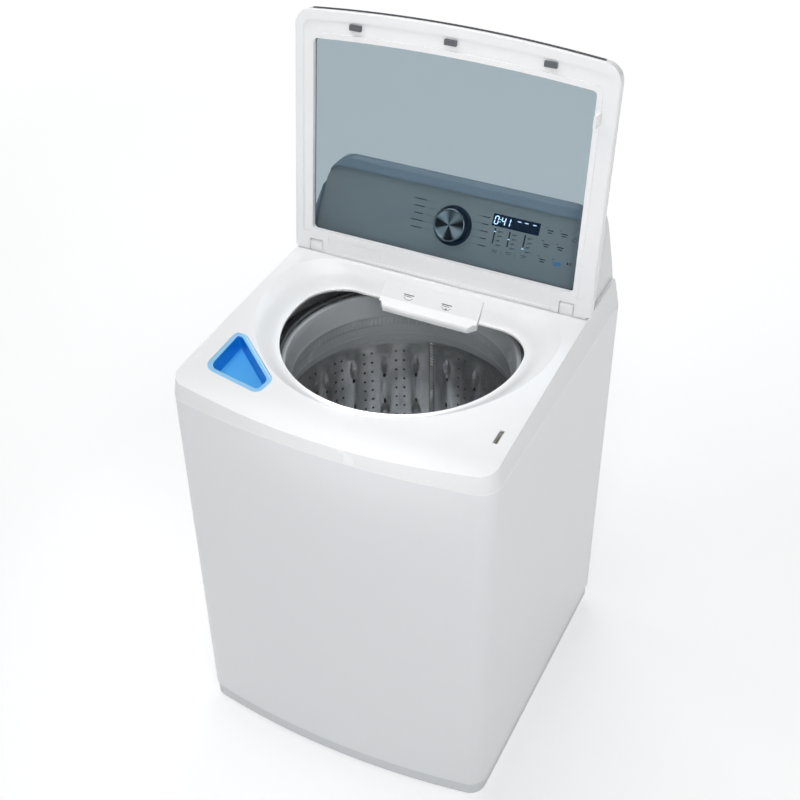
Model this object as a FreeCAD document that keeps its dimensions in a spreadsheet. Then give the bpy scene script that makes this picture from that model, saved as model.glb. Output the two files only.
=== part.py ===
import math
import os

import FreeCAD
import Part
import Sketcher
from FreeCAD import Placement, Rotation, Vector

os.makedirs("parts", exist_ok=True)
doc = FreeCAD.newDocument("TopLoadWasher")
sheet = doc.addObject("Spreadsheet::Sheet", "Sizes")
nodes = []
sheetRow = [0]


class Dim:
    """A number together with the spreadsheet expression that gives it."""

    def __init__(self, value, text):
        self.value = float(value)
        self.text = text

    def __add__(self, other):
        other = dim(other)
        return Dim(self.value + other.value, "(" + self.text + " + " + other.text + ")")

    def __radd__(self, other):
        return dim(other) + self

    def __sub__(self, other):
        other = dim(other)
        return Dim(self.value - other.value, "(" + self.text + " - " + other.text + ")")

    def __rsub__(self, other):
        return dim(other) - self

    def __mul__(self, other):
        other = dim(other)
        return Dim(self.value * other.value, "(" + self.text + " * " + other.text + ")")

    def __rmul__(self, other):
        return dim(other) * self

    def __truediv__(self, other):
        other = dim(other)
        return Dim(self.value / other.value, "(" + self.text + " / " + other.text + ")")

    def __neg__(self):
        return Dim(-self.value, "(0 - " + self.text + ")")


def dim(value):
    if isinstance(value, Dim):
        return value
    if value < 0:
        return Dim(value, "(0 - %g)" % abs(value))
    return Dim(value, "%g" % value)


def size(alias, value, note):
    """Adds one driving size to the sheet and gives it back."""
    sheetRow[0] += 1
    row = sheetRow[0]
    sheet.set("A%d" % row, alias)
    sheet.set("B%d" % row, "%g" % value)
    sheet.set("C%d" % row, note)
    sheet.setAlias("B%d" % row, alias)
    return Dim(value, "Sizes." + alias)


# ---- driving sizes, millimetres and degrees ----
cabWidth = size("cabWidth", 698, "cabinet width")
cabDepth = size("cabDepth", 717, "cabinet depth at the middle of the bowed front")
frontBow = size("frontBow", 34, "how far the front bows out between its corners")
cornerRadius = size("cornerRadius", 42, "front corner radius seen from above")
footHeight = size("footHeight", 15, "floor to underside of base")
toeHeight = size("toeHeight", 35, "height of the base strip")
seamHeight = size("seamHeight", 908, "floor to the seam under the top panel")
sheetSteel = size("sheetSteel", 1.5, "cabinet wall")
skin = size("skin", 3, "moulded top wall")
lipInset = size("lipInset", 9, "inward lean of the top panel's edge")
tubAxis = size("tubAxis", 6, "tub centre behind the cabinet centre")
holeRadius = size("holeRadius", 253, "loading opening radius")
holeCentre = size("holeCentre", 16, "loading opening centre behind the cabinet centre")
holeChord = size("holeChord", 129, "straight rear edge of the loading opening")
rimHeight = size("rimHeight", 934, "floor to the loading rim")
deckHeight = size("deckHeight", 977, "floor to the rear deck")
tubRadius = size("tubRadius", 287, "tub inside radius")
tubBottom = size("tubBottom", 262, "underside of the tub")
tubTop = size("tubTop", 868, "top edge of the tub")
basketRadius = size("basketRadius", 262.3, "basket inside radius")
basketBottom = size("basketBottom", 300, "underside of the basket")
basketTop = size("basketTop", 880, "top edge of the basket wall")
plateRadius = size("plateRadius", 205, "wash plate radius")
shaftRadius = size("shaftRadius", 14, "drive shaft radius")
spinRadius = size("spinRadius", 22, "spin shaft outside radius")
lidHalf = size("lidHalf", 343, "half width of the lid")
lidLength = size("lidLength", 522, "lid datum to the middle of its front edge")
lidBow = size("lidBow", 18, "how far the lid's front edge bows out")
lidThick = size("lidThick", 24, "lid thickness")
lidLean = size("lidLean", 83.5, "angle of the open lid above level")
lidPlaneBack = size("lidPlaneBack", 179, "inner face of the open lid, at its datum")
lidPlaneUp = size("lidPlaneUp", 995, "height of the lid datum")
hingeAlong = size("hingeAlong", -5, "hinge axis along the lid from its datum")
hingeDeep = size("hingeDeep", -8, "hinge axis behind the inner face")
pinRadius = size("pinRadius", 3, "lid hinge pin radius")
panelBack = size("panelBack", 222, "foot of the control panel, behind centre")
panelUp = size("panelUp", 1006, "foot of the control panel, above the floor")
panelLean = size("panelLean", 60, "control panel angle above level")
knobUp = size("knobUp", 73.5, "knob centre up the control panel")
knobRadius = size("knobRadius", 35.5, "cycle knob radius")
drawerLeft = size("drawerLeft", -108, "left edge of the dispenser front")
drawerRight = size("drawerRight", 118, "right edge of the dispenser front")
rodRadius = size("rodRadius", 4, "suspension rod radius")
rodOut = size("rodOut", 285, "suspension rods, left and right of centre")
rodFront = size("rodFront", -235, "front rods, behind centre")
rodRear = size("rodRear", 275, "rear rods, behind centre")
footOut = size("footOut", 292, "feet, left and right of centre")
footFront = size("footFront", -250, "front feet, behind centre")
footRear = size("footRear", 300, "rear feet, behind centre")
threadRadius = size("threadRadius", 13.3, "hose thread outside radius")
doc.recompute()

half = cabWidth / 2
backY = cabDepth / 2
lidPlace = Placement(Vector(0, lidPlaneBack.value, lidPlaneUp.value),
                     Rotation(Vector(1, 0, 0), lidLean.value))
panelPlace = Placement(Vector(0, panelBack.value, panelUp.value),
                       Rotation(Vector(1, 0, 0), panelLean.value))


# ---- helpers ----
def bind(obj, prop, value):
    """Sets a property, bound to the sheet when the value comes from it."""
    if isinstance(value, Dim):
        obj.setExpression(prop, value.text)
    else:
        obj.setExpression(prop, "%.6g" % value if value >= 0 else "0 - %.6g" % abs(value))


def place(obj, x, y, z, rotation=None):
    obj.Placement = Placement(Vector(dim(x).value, dim(y).value, dim(z).value), rotation or Rotation())
    for axis, value in (("x", x), ("y", y), ("z", z)):
        if isinstance(value, Dim):
            obj.setExpression("Placement.Base." + axis, value.text)


def box(name, xs, ys, zs):
    """A block between two x, two y and two z values."""
    obj = doc.addObject("Part::Box", name)
    spans = (("Length", xs), ("Width", ys), ("Height", zs))
    for prop, (low, high) in spans:
        bind(obj, prop, dim(high) - dim(low))
    place(obj, xs[0], ys[0], zs[0])
    return obj


def rod(name, x, y, z, radius, length, axis="z"):
    """A cylinder standing on a point, along +z, +y or +x."""
    obj = doc.addObject("Part::Cylinder", name)
    bind(obj, "Radius", dim(radius))
    bind(obj, "Height", dim(length))
    turns = {"z": Rotation(), "y": Rotation(Vector(1, 0, 0), -90), "x": Rotation(Vector(0, 1, 0), 90)}
    place(obj, x, y, z, turns[axis])
    return obj


def fuse(name, parts):
    obj = doc.addObject("Part::MultiFuse", name)
    obj.Shapes = parts
    return obj


def cut(name, base, tools):
    obj = doc.addObject("Part::Cut", name)
    obj.Base = base
    obj.Tool = tools[0] if len(tools) == 1 else fuse(name + "_tools", tools)
    return obj


def group(name, parts):
    """Identical separate solids kept as one node."""
    obj = doc.addObject("Part::Compound", name)
    obj.Links = parts
    return obj


def built(name, shape, placement=None):
    """A shape made in code from the sheet's sizes."""
    obj = doc.addObject("Part::Feature", name)
    obj.Shape = shape
    if placement:
        obj.Placement = placement.multiply(shape.Placement)
    return obj


def node(obj, name):
    obj.Label = name
    nodes.append((name, obj))
    return obj


def plane(body, role):
    for feature in body.Origin.OriginFeatures:
        if feature.Role == role:
            return feature
    return None


def outline(body, name, role, points):
    """A closed sketch whose corners are all bound to the sheet."""
    sketch = body.newObject("Sketcher::SketchObject", name)
    sketch.AttachmentSupport = [(plane(body, role), "")]
    sketch.MapMode = "FlatFace"
    pts = [(dim(a), dim(b)) for a, b in points]
    count = len(pts)
    for i in range(count):
        start = pts[i]
        end = pts[(i + 1) % count]
        line = Part.LineSegment(Vector(start[0].value, start[1].value, 0),
                                Vector(end[0].value, end[1].value, 0))
        sketch.addGeometry(line, False)
    for i in range(count):
        sketch.addConstraint(Sketcher.Constraint("Coincident", i, 2, (i + 1) % count, 1))
    for i in range(count):
        for kind, value, axis in (("DistanceX", pts[i][0], -2), ("DistanceY", pts[i][1], -1)):
            if abs(value.value) < 1e-9:
                sketch.addConstraint(Sketcher.Constraint("PointOnObject", i, 1, axis))
            else:
                index = sketch.addConstraint(Sketcher.Constraint(kind, -1, 1, i, 1, value.value))
                sketch.setExpression("Constraints[%d]" % index, value.text)
    return sketch


def turned(name, points, x=0, y=0, z=0, rotation=None):
    """A body turned about its own z axis from radius and height pairs."""
    body = doc.addObject("PartDesign::Body", name)
    sketch = outline(body, name + "_profile", "XZ_Plane", points)
    turn = body.newObject("PartDesign::Revolution", name + "_turn")
    turn.Profile = sketch
    turn.ReferenceAxis = (sketch, ["V_Axis"])
    turn.Angle = 360
    sketch.Visibility = False
    place(body, x, y, z, rotation)
    return body


def plate(name, points, thickness, placement, lift=0.0, rounds=()):
    """A body padded from a flat outline, with chosen corners rounded."""
    body = doc.addObject("PartDesign::Body", name)
    sketch = outline(body, name + "_outline", "XY_Plane", points)
    sketch.AttachmentOffset = Placement(Vector(0, 0, lift), Rotation())
    pad = body.newObject("PartDesign::Pad", name + "_pad")
    pad.Profile = sketch
    bind(pad, "Length", dim(thickness))
    doc.recompute()
    last = pad
    for radius, corners in rounds:
        names = []
        for number, edge in enumerate(last.Shape.Edges, 1):
            ends = edge.Vertexes
            if len(ends) == 2 and abs(ends[0].X - ends[1].X) < 1e-6 and abs(ends[0].Y - ends[1].Y) < 1e-6:
                for corner in corners:
                    px = dim(points[corner][0]).value
                    py = dim(points[corner][1]).value
                    if math.hypot(ends[0].X - px, ends[0].Y - py) < 0.01:
                        names.append("Edge%d" % number)
        dressed = body.newObject("PartDesign::Fillet", name + "_round%d" % int(radius))
        dressed.Base = (last, names)
        dressed.Radius = radius
        doc.recompute()
        last = dressed
    body.Placement = placement
    return body


def bowedWire(hw, base, apex, bowRadius, corner, height):
    """A flat outline: straight base and sides, bowed far edge, round far corners."""
    out = 1 if apex > base else -1
    bowY = apex - out * bowRadius
    cx = hw - corner
    cy = bowY + out * math.sqrt((bowRadius - corner) ** 2 - cx ** 2)
    k = bowRadius / (bowRadius - corner)
    tx = cx * k
    ty = bowY + (cy - bowY) * k
    mid = Vector(1 + (tx - cx) / corner, (ty - cy) / corner, 0)
    mid.normalize()
    mx = cx + corner * mid.x
    my = cy + corner * mid.y
    z = height
    edges = [
        Part.makeLine(Vector(-hw, base, z), Vector(hw, base, z)),
        Part.makeLine(Vector(hw, base, z), Vector(hw, cy, z)),
        Part.Arc(Vector(hw, cy, z), Vector(mx, my, z), Vector(tx, ty, z)).toShape(),
        Part.Arc(Vector(tx, ty, z), Vector(0, apex, z), Vector(-tx, ty, z)).toShape(),
        Part.Arc(Vector(-tx, ty, z), Vector(-mx, my, z), Vector(-hw, cy, z)).toShape(),
        Part.makeLine(Vector(-hw, cy, z), Vector(-hw, base, z)),
    ]
    return Part.Wire(edges)


def planWire(inset, height):
    """The cabinet's outline from above."""
    bow = frontBow.value
    bowRadius = (half.value ** 2 + bow ** 2) / (2 * bow)
    corner = max(cornerRadius.value - inset, 4)
    return bowedWire(half.value - inset, backY.value - inset, inset - backY.value, bowRadius - inset,
                     corner, height)


def slab(inset, low, high):
    face = Part.Face(planWire(inset, low))
    return face.extrude(Vector(0, 0, high - low))


def holeWire(radius, chord, corner, height):
    """Round loading opening with a straight rear edge and eased corners."""
    yc = holeCentre.value
    reach = radius - corner
    cy = chord - corner
    cx = math.sqrt(reach ** 2 - (cy - yc) ** 2)
    k = radius / reach
    tx = cx * k
    ty = yc + (cy - yc) * k
    mid = Vector((tx - cx) / corner, (ty - cy) / corner + 1, 0)
    mid.normalize()
    mx = cx + corner * mid.x
    my = cy + corner * mid.y
    z = height
    edges = [
        Part.makeLine(Vector(-cx, chord, z), Vector(cx, chord, z)),
        Part.Arc(Vector(cx, chord, z), Vector(mx, my, z), Vector(tx, ty, z)).toShape(),
        Part.Arc(Vector(tx, ty, z), Vector(0, yc - radius, z), Vector(-tx, ty, z)).toShape(),
        Part.Arc(Vector(-tx, ty, z), Vector(-mx, my, z), Vector(-cx, chord, z)).toShape(),
    ]
    return Part.Wire(edges)


def prism(wire, rise):
    return Part.Face(wire).extrude(Vector(0, 0, rise))


def block(xs, ys, zs):
    corner = Vector(xs[0], ys[0], zs[0])
    return Part.makeBox(xs[1] - xs[0], ys[1] - ys[0], zs[1] - zs[0], corner)


def polygon(points, height=0.0):
    corners = [Vector(p[0], p[1], height) for p in points]
    return Part.makePolygon(corners + [corners[0]])


def rounded(points, radii, height=0.0):
    """A closed flat outline with each corner rounded by its own radius."""
    count = len(points)
    edges = []
    joins = []
    for i in range(count):
        here = Vector(points[i][0], points[i][1], height)
        before = Vector(points[i - 1][0], points[i - 1][1], height)
        after = Vector(points[(i + 1) % count][0], points[(i + 1) % count][1], height)
        a = (before - here).normalize()
        b = (after - here).normalize()
        angle = a.getAngle(b)
        reach = radii[i] / math.tan(angle / 2)
        start = here + a * reach
        end = here + b * reach
        inward = (a + b).normalize()
        middle = here + inward * (radii[i] / math.sin(angle / 2) - radii[i])
        joins.append((start, middle, end))
    for i in range(count):
        start, middle, end = joins[i]
        edges.append(Part.Arc(start, middle, end).toShape())
        edges.append(Part.makeLine(end, joins[(i + 1) % count][0]))
    return Part.Wire(edges)


def soften(shape, radius, chosen):
    """Fillets the chosen edges, or leaves the shape alone when they can't take it."""
    edges = [e for e in shape.Edges if chosen(e)]
    if not edges:
        return shape
    try:
        result = shape.makeFillet(radius, edges)
        if result.isValid() and result.Volume > 0:
            return result
    except Exception as problem:
        print("left sharp:", problem)
    return shape


# ---- cabinet ----
def cabinetShell():
    low = footHeight.value + toeHeight.value
    high = seamHeight.value - 3
    wall = sheetSteel.value
    outer = slab(0, low, high)
    inner = slab(wall, low - 1, high + 1)
    rear = block((-half.value + 19, half.value - 19), (backY.value - 20, backY.value + 5),
                 (low - 1, high + 1))
    shell = outer.cut(inner).cut(rear)
    flange = slab(wall, high - wall, high).cut(slab(16, high - 5, high + 5))
    back = block((-400, 400), (backY.value - 17, backY.value + 5), (high - 5, high + 5))
    return shell.fuse(flange.cut(back)).removeSplitter()


node(built("cabinetShell", cabinetShell()), "cabinet_shell")

feetAt = [(-footOut, footFront), (footOut, footFront), (-footOut, footRear), (footOut, footRear)]


def baseFrame():
    low = footHeight.value
    high = footHeight.value + toeHeight.value
    ring = slab(3.3, low, high).cut(slab(24, low - 1, high + 1))
    seats = [slab(3.3, high - 4, high).cut(slab(40, high - 9, high + 1))]
    for fx, fy in feetAt:
        x = fx.value
        y = fy.value
        seat = block((x - 42, x + 42), (y - 42, y + 42), (low + 15, low + 21))
        seats.append(seat.common(slab(4, low, high)))
    body = ring.multiFuse(seats)
    holes = [Part.makeCylinder(6.4, 60, Vector(fx.value, fy.value, low - 5)) for fx, fy in feetAt]
    return body.cut(Part.makeCompound(holes)).removeSplitter()


node(built("baseFrame", baseFrame()), "base_frame")

panelY = backY - sheetSteel - 0.2
rearSheet = box("rearSheet", (-half + 4, half - 4), (panelY - 1.5, panelY),
                (footHeight + toeHeight, seamHeight - 5))
portHole = rod("portHole", -260, panelY - 10, 112, 17.5, 20, "y")
cordHole = rod("cordHole", 250, panelY - 10, 850, 11, 20, "y")
ventHoles = [box("vent%d" % i, (-60 + 22 * i, -48 + 22 * i), (panelY - 8, panelY + 8),
                 (560, 640)) for i in range(6)]
rearRibs = [box("rearRib%d" % i, (-235, 235), (panelY - 0.1, panelY + 1.2), (250 + 60 * i, 262 + 60 * i))
            for i in range(4)]
rearPanel = fuse("rearPanel", [cut("rearPlate", rearSheet, [portHole, cordHole] + ventHoles)] + rearRibs)
node(rearPanel, "rear_panel")

rodsAt = [(-rodOut, rodFront), (rodOut, rodFront), (-rodOut, rodRear), (rodOut, rodRear)]


def bracket(index, x, y):
    sign = 1 if x.value > 0 else -1
    edge = (half - sheetSteel) * sign
    xs = (x - 34 * sign, edge) if sign > 0 else (edge, x + 34)
    seat = box("bracketSeat%d" % index, xs, (y - 36, y + 36), (872, 876))
    side = (edge - 3, edge) if sign > 0 else (edge, edge + 3)
    wing = box("bracketWing%d" % index, side, (y - 36, y + 36), (850, 876))
    hole = rod("bracketHole%d" % index, x, y, 860, 6, 30)
    return cut("bracket%d" % index, fuse("bracketBlank%d" % index, [seat, wing]), [hole])


node(group("brackets", [bracket(i, x, y) for i, (x, y) in enumerate(rodsAt)]), "corner_brackets")


def hanger(index, x, y):
    stem = rod("hangStem%d" % index, x, y, 206, rodRadius, 676)
    washer = rod("hangWasher%d" % index, x, y, 202, 18, 4)
    ball = doc.addObject("Part::Sphere", "hangBall%d" % index)
    bind(ball, "Radius", dim(9))
    place(ball, x, y, 883)
    return fuse("hanger%d" % index, [stem, washer, ball])


node(group("hangers", [hanger(i, x, y) for i, (x, y) in enumerate(rodsAt)]), "suspension_rods")


def foot(index, x, y):
    points = [(0, 0), (20, 0), (22, 2), (22, 8), (19, 10.5), (9, 12), (9, 14), (5.6, 14), (5.6, 58), (0, 58)]
    return turned("foot%d" % index, points, x, y, 0)


footNames = ["foot_front_left", "foot_front_right", "foot_rear_left", "foot_rear_right"]
for i, (fx, fy) in enumerate(feetAt):
    node(foot(i, fx, fy), footNames[i])


def locknut(index, x, y):
    nut = doc.addObject("Part::Prism", "nut%d" % index)
    nut.Polygon = 6
    bind(nut, "Circumradius", dim(11))
    bind(nut, "Height", dim(8))
    place(nut, x, y, footHeight + 21)
    return cut("locknut%d" % index, nut, [rod("nutHole%d" % index, x, y, footHeight, 6, 50)])


node(group("locknuts", [locknut(i, x, y) for i, (x, y) in enumerate(feetAt)]), "foot_locknuts")


# ---- moulded top ----
def topProfile(drop):
    """Side view of the top surface, from the rolled front to the rear deck."""
    front = -backY.value
    deck = deckHeight.value
    heights = [(front - 12, 930), (front + 4, 934), (front + 18, 939.5), (front + 40, 945.8)]
    heights += [(front + 68, 950.8), (front + 158, 957), (front + 258, 963), (front + 358, 968.3)]
    heights += [(front + 458, 973.6), (front + 508, deck - 1.2), (front + 548, deck)]
    points = [Vector(-420, y, z - drop) for y, z in heights]
    curve = Part.BSplineCurve()
    curve.interpolate(points)
    last = points[-1]
    tail = Vector(-420, 420, last.z)
    floor = [tail, Vector(-420, 420, 700), Vector(-420, points[0].y, 700), points[0]]
    edges = [curve.toShape(), Part.makeLine(last, tail)]
    for a, b in zip(floor, floor[1:]):
        edges.append(Part.makeLine(a, b))
    return Part.Face(Part.Wire(edges)).extrude(Vector(840, 0, 0))


def bowl(drop):
    """The funnel that leads down to the loading opening."""
    steps = ((-3, 0, 86), (5, 0.5, 90), (14, 4.5, 96), (62, 34, 112), (76, 41, 118), (92, 45.5, 124),
             (120, 60, 134))
    wires = []
    for grow, lift, corner in steps:
        wires.append(holeWire(holeRadius.value + grow, holeChord.value + grow * 0.46, corner,
                              rimHeight.value + lift - drop))
    lower = Part.makeLoft(wires, True, False)
    return lower


def topSolid(drop, inset):
    low = seamHeight.value - (0.01 if inset else 0)
    high = 1010
    lean = lipInset.value * (high - low) / 60.0
    wires = [planWire(inset, low), planWire(inset + lean, high)]
    body = Part.makeLoft(wires, True, True)
    body = body.common(topProfile(drop))
    return body.cut(bowl(drop))


def cupOutline(inset):
    points = [(-272, -146), (-298, -142), (-299, -267), (-158, -292.5), (-152, -245)]
    radii = [20, 14, 30, 16, 24]
    wire = rounded(points, radii)
    if inset:
        wire = wire.makeOffset2D(-inset)
    return wire


def cupPlane(shape):
    """Tips a flat shape onto the sloping top beside the opening."""
    lifted = shape.copy()
    lifted.rotate(Vector(0, -295, 0), Vector(1, 0, 0), 4.0)
    lifted.translate(Vector(0, 0, 950.1))
    return lifted


def liftedPrism(wire, low, high):
    solid = prism(wire, high - low)
    solid.translate(Vector(0, 0, low))
    return solid


def topPanel():
    outer = topSolid(0, 0)
    cut1 = topSolid(skin.value, skin.value)
    shell = outer.cut(cut1)
    radius = holeRadius.value
    chord = holeChord.value
    rim = rimHeight.value
    opening = prism(holeWire(radius, chord, 90, rim - 60), 160)
    skirt = prism(holeWire(radius + 4, chord + 4, 94, rim - 4), 4.6)
    skirt = skirt.cut(prism(holeWire(radius, chord, 90, 900), 60))
    shell = shell.cut(opening).fuse(skirt)
    # cup well, with a step for the cup's flange
    seat = liftedPrism(cupOutline(-0.6), -3.6, 40)
    hollow = liftedPrism(cupOutline(8.2), -34, 40)
    room = cupPlane(seat.fuse(hollow))
    well = cupPlane(liftedPrism(cupOutline(-2.6), -6.6, 1).fuse(liftedPrism(cupOutline(6), -36, 1)))
    well = well.common(topSolid(0.05, 0.5)).cut(room)
    shell = shell.cut(room).fuse(well)
    # dispenser opening
    left = drawerLeft.value - 1
    right = drawerRight.value + 1
    mouth = block((left, right), (60, 158.5), (913.4, 1000))
    shell = shell.cut(mouth)
    # lid lock slot, hinge trench and bosses
    slot = block((306.5, 315.5), (-238, -200), (900, 1000))
    trench = block((-336, 336), (174.5, 208.6), (deckHeight.value - 8, 1000))
    tray = block((-339, 339), (171.5, 211.6), (deckHeight.value - 11, deckHeight.value - 1)).cut(trench)
    shell = shell.cut(slot).cut(trench).fuse(tray)
    axis = lidPlace.multVec(Vector(0, hingeAlong.value, hingeDeep.value))
    for side in (-1, 1):
        low = min(side * 276, side * 305)
        boss = block((low, low + 29), (178.9, 201), (deckHeight.value - 9, 1000))
        boss = soften(boss, 6, lambda e: e.BoundBox.ZMin > 999 and e.BoundBox.XLength > 20)
        bore = Part.makeCylinder(pinRadius.value + 0.08, 60, Vector(low - 10, axis.y, axis.z),
                                 Vector(1, 0, 0))
        shell = shell.fuse(boss).cut(bore)
    # way down to the dispenser for the fill spout
    spout = Part.makeCylinder(13, 60, Vector(-80, 310, 940))
    return shell.cut(spout).removeSplitter()


topShape = topPanel()
node(built("topPanel", topShape), "top_panel")


def seamTrim():
    seam = seamHeight.value
    ring = slab(0, seam - 3, seam).cut(slab(14, seam - 5, seam + 2))
    back = block((-400, 400), (backY.value - 17, backY.value + 5), (seam - 5, seam + 5))
    return ring.cut(back)


node(built("seamTrim", seamTrim()), "seam_trim")


# ---- console ----
def panelPoint(up, out):
    """Y and z of a point up the control panel and out from its face."""
    spot = panelPlace.multVec(Vector(0, up, out))
    return spot.y, spot.z


def sideShape(points, low, high):
    edges = [Vector(low, y, z) for y, z in points]
    return Part.Face(Part.makePolygon(edges + [edges[0]])).extrude(Vector(high - low, 0, 0))


def frontShape(inset, low, high):
    """The console seen from the front: leaning ends and round top corners."""
    ends = [(333, 960), (328.5, 1003), (321.5, 1045), (312.5, 1096), (305, 1122), (293, 1139)]
    ends += [(277, 1150), (257, 1156.5), (232, 1158.5)]
    ends = [(x - inset, z - (inset if z > 1110 else 0)) for x, z in ends]
    right = Part.BSplineCurve()
    right.interpolate([Vector(x, low, z) for x, z in ends])
    left = Part.BSplineCurve()
    left.interpolate([Vector(-x, low, z) for x, z in ends])
    top = ends[-1]
    base = ends[0]
    edges = [right.toShape(), Part.makeLine(Vector(top[0], low, top[1]), Vector(-top[0], low, top[1])),
             left.toShape(), Part.makeLine(Vector(-base[0], low, base[1]), Vector(base[0], low, base[1]))]
    return Part.Face(Part.Wire(edges)).extrude(Vector(0, high - low, 0))


def panelWire(grow):
    points = [(-315.5, 3), (315.5, 3), (310.5, 144), (-310.5, 144)]
    wire = rounded(points, [8, 8, 34, 34])
    return wire.makeOffset2D(grow) if grow else wire


def consoleHousing():
    base = deckHeight.value + 0.2
    rimTop = panelPoint(163, 12)
    rimLow = panelPoint(-8, 12)
    profile = [(209.8, base), (209.8, 992), rimLow, rimTop, (302, 1158.5), (311, 1158), (351.5, 1119),
               (351.5, base)]
    solid = sideShape(profile, -360, 360).common(frontShape(0, 150, 400))
    solid = soften(solid, 5, lambda e: e.BoundBox.ZMin > 1145 and e.BoundBox.XLength > 300)
    pocket = prism(panelWire(0.4), 60)
    pocket.translate(Vector(0, 0, -4.2))
    pocket.Placement = panelPlace.multiply(pocket.Placement)
    innerFoot = panelPoint(-22, -7.5)
    innerHead = panelPoint(146, -7.5)
    hollow = [(innerFoot[0], base - 20), innerFoot, innerHead, (338, 1110), (380, 1110), (380, base - 20)]
    inner = sideShape(hollow, -380, 380).common(frontShape(4, 150, 420))
    solid = solid.cut(pocket).cut(inner)
    shaft = Part.makeCylinder(6, 60, Vector(0, knobUp.value, -40))
    shaft.Placement = panelPlace.multiply(shaft.Placement)
    window = Part.makeBox(96, 18, 40, Vector(89, 97, -30))
    window.Placement = panelPlace.multiply(window.Placement)
    return solid.cut(shaft).cut(window).removeSplitter()


node(built("consoleHousing", consoleHousing()), "console_housing")


def consoleBack():
    band = block((-400, 400), (340, 360), (deckHeight.value + 0.4, 1109.6))
    plateBlank = frontShape(4.4, 347, 350).common(band)
    holes = []
    for x in (-245, -195):
        holes.append(Part.makeCylinder(16, 30, Vector(x, 335, 1015), Vector(0, 1, 0)))
    return plateBlank.cut(Part.makeCompound(holes))


node(built("consoleBack", consoleBack()), "console_back")

fasciaPoints = [(-315.5, 3), (315.5, 3), (310.5, 144), (-310.5, 144)]
fascia = plate("fascia", fasciaPoints, 4, Placement(), -4, ((8, (0, 1)), (34, (2, 3))))
fasciaHole = rod("fasciaHole", 0, knobUp, -10, 5, 20)
fasciaWindow = box("fasciaWindow", (84.5, 189.5), (93, 119), (-0.8, 5))
controlPanel = cut("controlPanel", fascia, [fasciaHole, fasciaWindow])
controlPanel.Placement = panelPlace
node(controlPanel, "control_fascia")

windowGlass = box("windowGlass", (84.8, 189.2), (93.3, 118.7), (-0.8, 0.4))
windowGlass.Placement = panelPlace.multiply(windowGlass.Placement)
windowGlass.setExpression("Placement.Base.x", None)
windowGlass.setExpression("Placement.Base.y", None)
windowGlass.setExpression("Placement.Base.z", None)
node(windowGlass, "display_window")


def onPanel(up):
    return panelPlace.multiply(Placement(Vector(0, up, 0), Rotation()))


bezel = turned("bezel", [(36.2, 0), (43, 0), (42.4, 4), (39.5, 7.5), (36.2, 7.5)])
bezel.Placement = onPanel(knobUp.value)
node(bezel, "knob_bezel")

knobPoints = [(0, -22), (3, -22), (3, 1), (knobRadius - 1.5, 1), (knobRadius, 3), (knobRadius, 20),
              (knobRadius - 1.2, 23), (knobRadius - 3, 23.6), (knobRadius - 4, 22.6), (0, 24.4)]
knob = turned("knob", knobPoints)
knob.Placement = onPanel(knobUp.value)
node(knob, "cycle_knob")

board = box("board", (-140, 240), (28, 132), (-27, -25.4))
chips = [box("chip%d" % i, (-110 + 48 * i, -84 + 48 * i), (40, 62), (-25.4, -20)) for i in range(7)]
boardHole = rod("boardHole", 0, knobUp, -40, 4, 20)
boardAll = cut("boardAll", fuse("boardParts", [board] + chips), [boardHole])
boardAll.Placement = panelPlace
node(boardAll, "control_board")

encoderBody = box("encoderBody", (-9, 9), (knobUp - 9, knobUp + 9), (-25.2, -12))
encoder = cut("encoder", encoderBody, [rod("encoderHole", 0, knobUp, -40, 3.5, 40)])
encoder.Placement = panelPlace
node(encoder, "selector_encoder")

# ---- water supply, drain and electrics fixed to the cabinet ----
valveBlock = box("valveBlock", (-262, -178), (300, 338), (995, 1035))
coils = [rod("coil%d" % i, x, 318, 1035, 14, 32) for i, x in enumerate((-245, -195))]
necks = [rod("neck%d" % i, x, 330, 1015, threadRadius, backY - 330, "y") for i, x in enumerate((-245, -195))]
bores = [rod("neckBore%d" % i, x, 345, 1015, 8, 30, "y") for i, x in enumerate((-245, -195))]
node(cut("valve", fuse("valveBody", [valveBlock] + coils + necks), bores), "inlet_valve")

manifold = fuse("manifold", [box("runner", (-258, -66), (301, 319), (982, 994.8)),
                             rod("spout", -80, 310, 963, 11, 25)])
node(manifold, "fill_manifold")

drainStub = rod("drainStub", -260, panelY - 40, 112, 14.5, backY - (panelY - 40), "y")
drainFlange = rod("drainFlange", -260, panelY - 6.5, 112, 24, 5, "y")
drainBore = rod("drainBore", -260, panelY - 60, 112, 11, 90, "y")
node(cut("drainPort", fuse("drainBody", [drainStub, drainFlange]), [drainBore]), "drain_port")

glandPlate = box("glandPlate", (230, 270), (panelY + 0.1, backY), (832, 868))
node(cut("gland", glandPlate, [rod("glandHole", 250, panelY - 5, 850, 5.5, 20, "y")]), "cord_inlet")

inverterBox = box("inverterBox", (-70, 70), (panelY - 41.5, panelY - 1.5), (110, 200))
inverterFins = [box("inverterFin%d" % i, (-60 + 17 * i, -56 + 17 * i), (panelY - 49.5, panelY - 41.5),
                    (118, 192))
                for i in range(8)]
node(fuse("inverter", [inverterBox] + inverterFins), "motor_inverter")


# ---- detergent and softener drawer ----
def dispenserHousing():
    outer = block((-103, 113), (160, 345), (914, 963))
    inner = block((-101, 111), (150, 343), (916, 961))
    spout = Part.makeCylinder(9, 30, Vector(-80, 310, 950))
    outlet = block((-60, 60), (170, 200), (905, 920))
    return outer.cut(inner).cut(spout).cut(outlet)


node(built("dispenserHousing", dispenserHousing()), "dispenser_housing")


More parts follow.
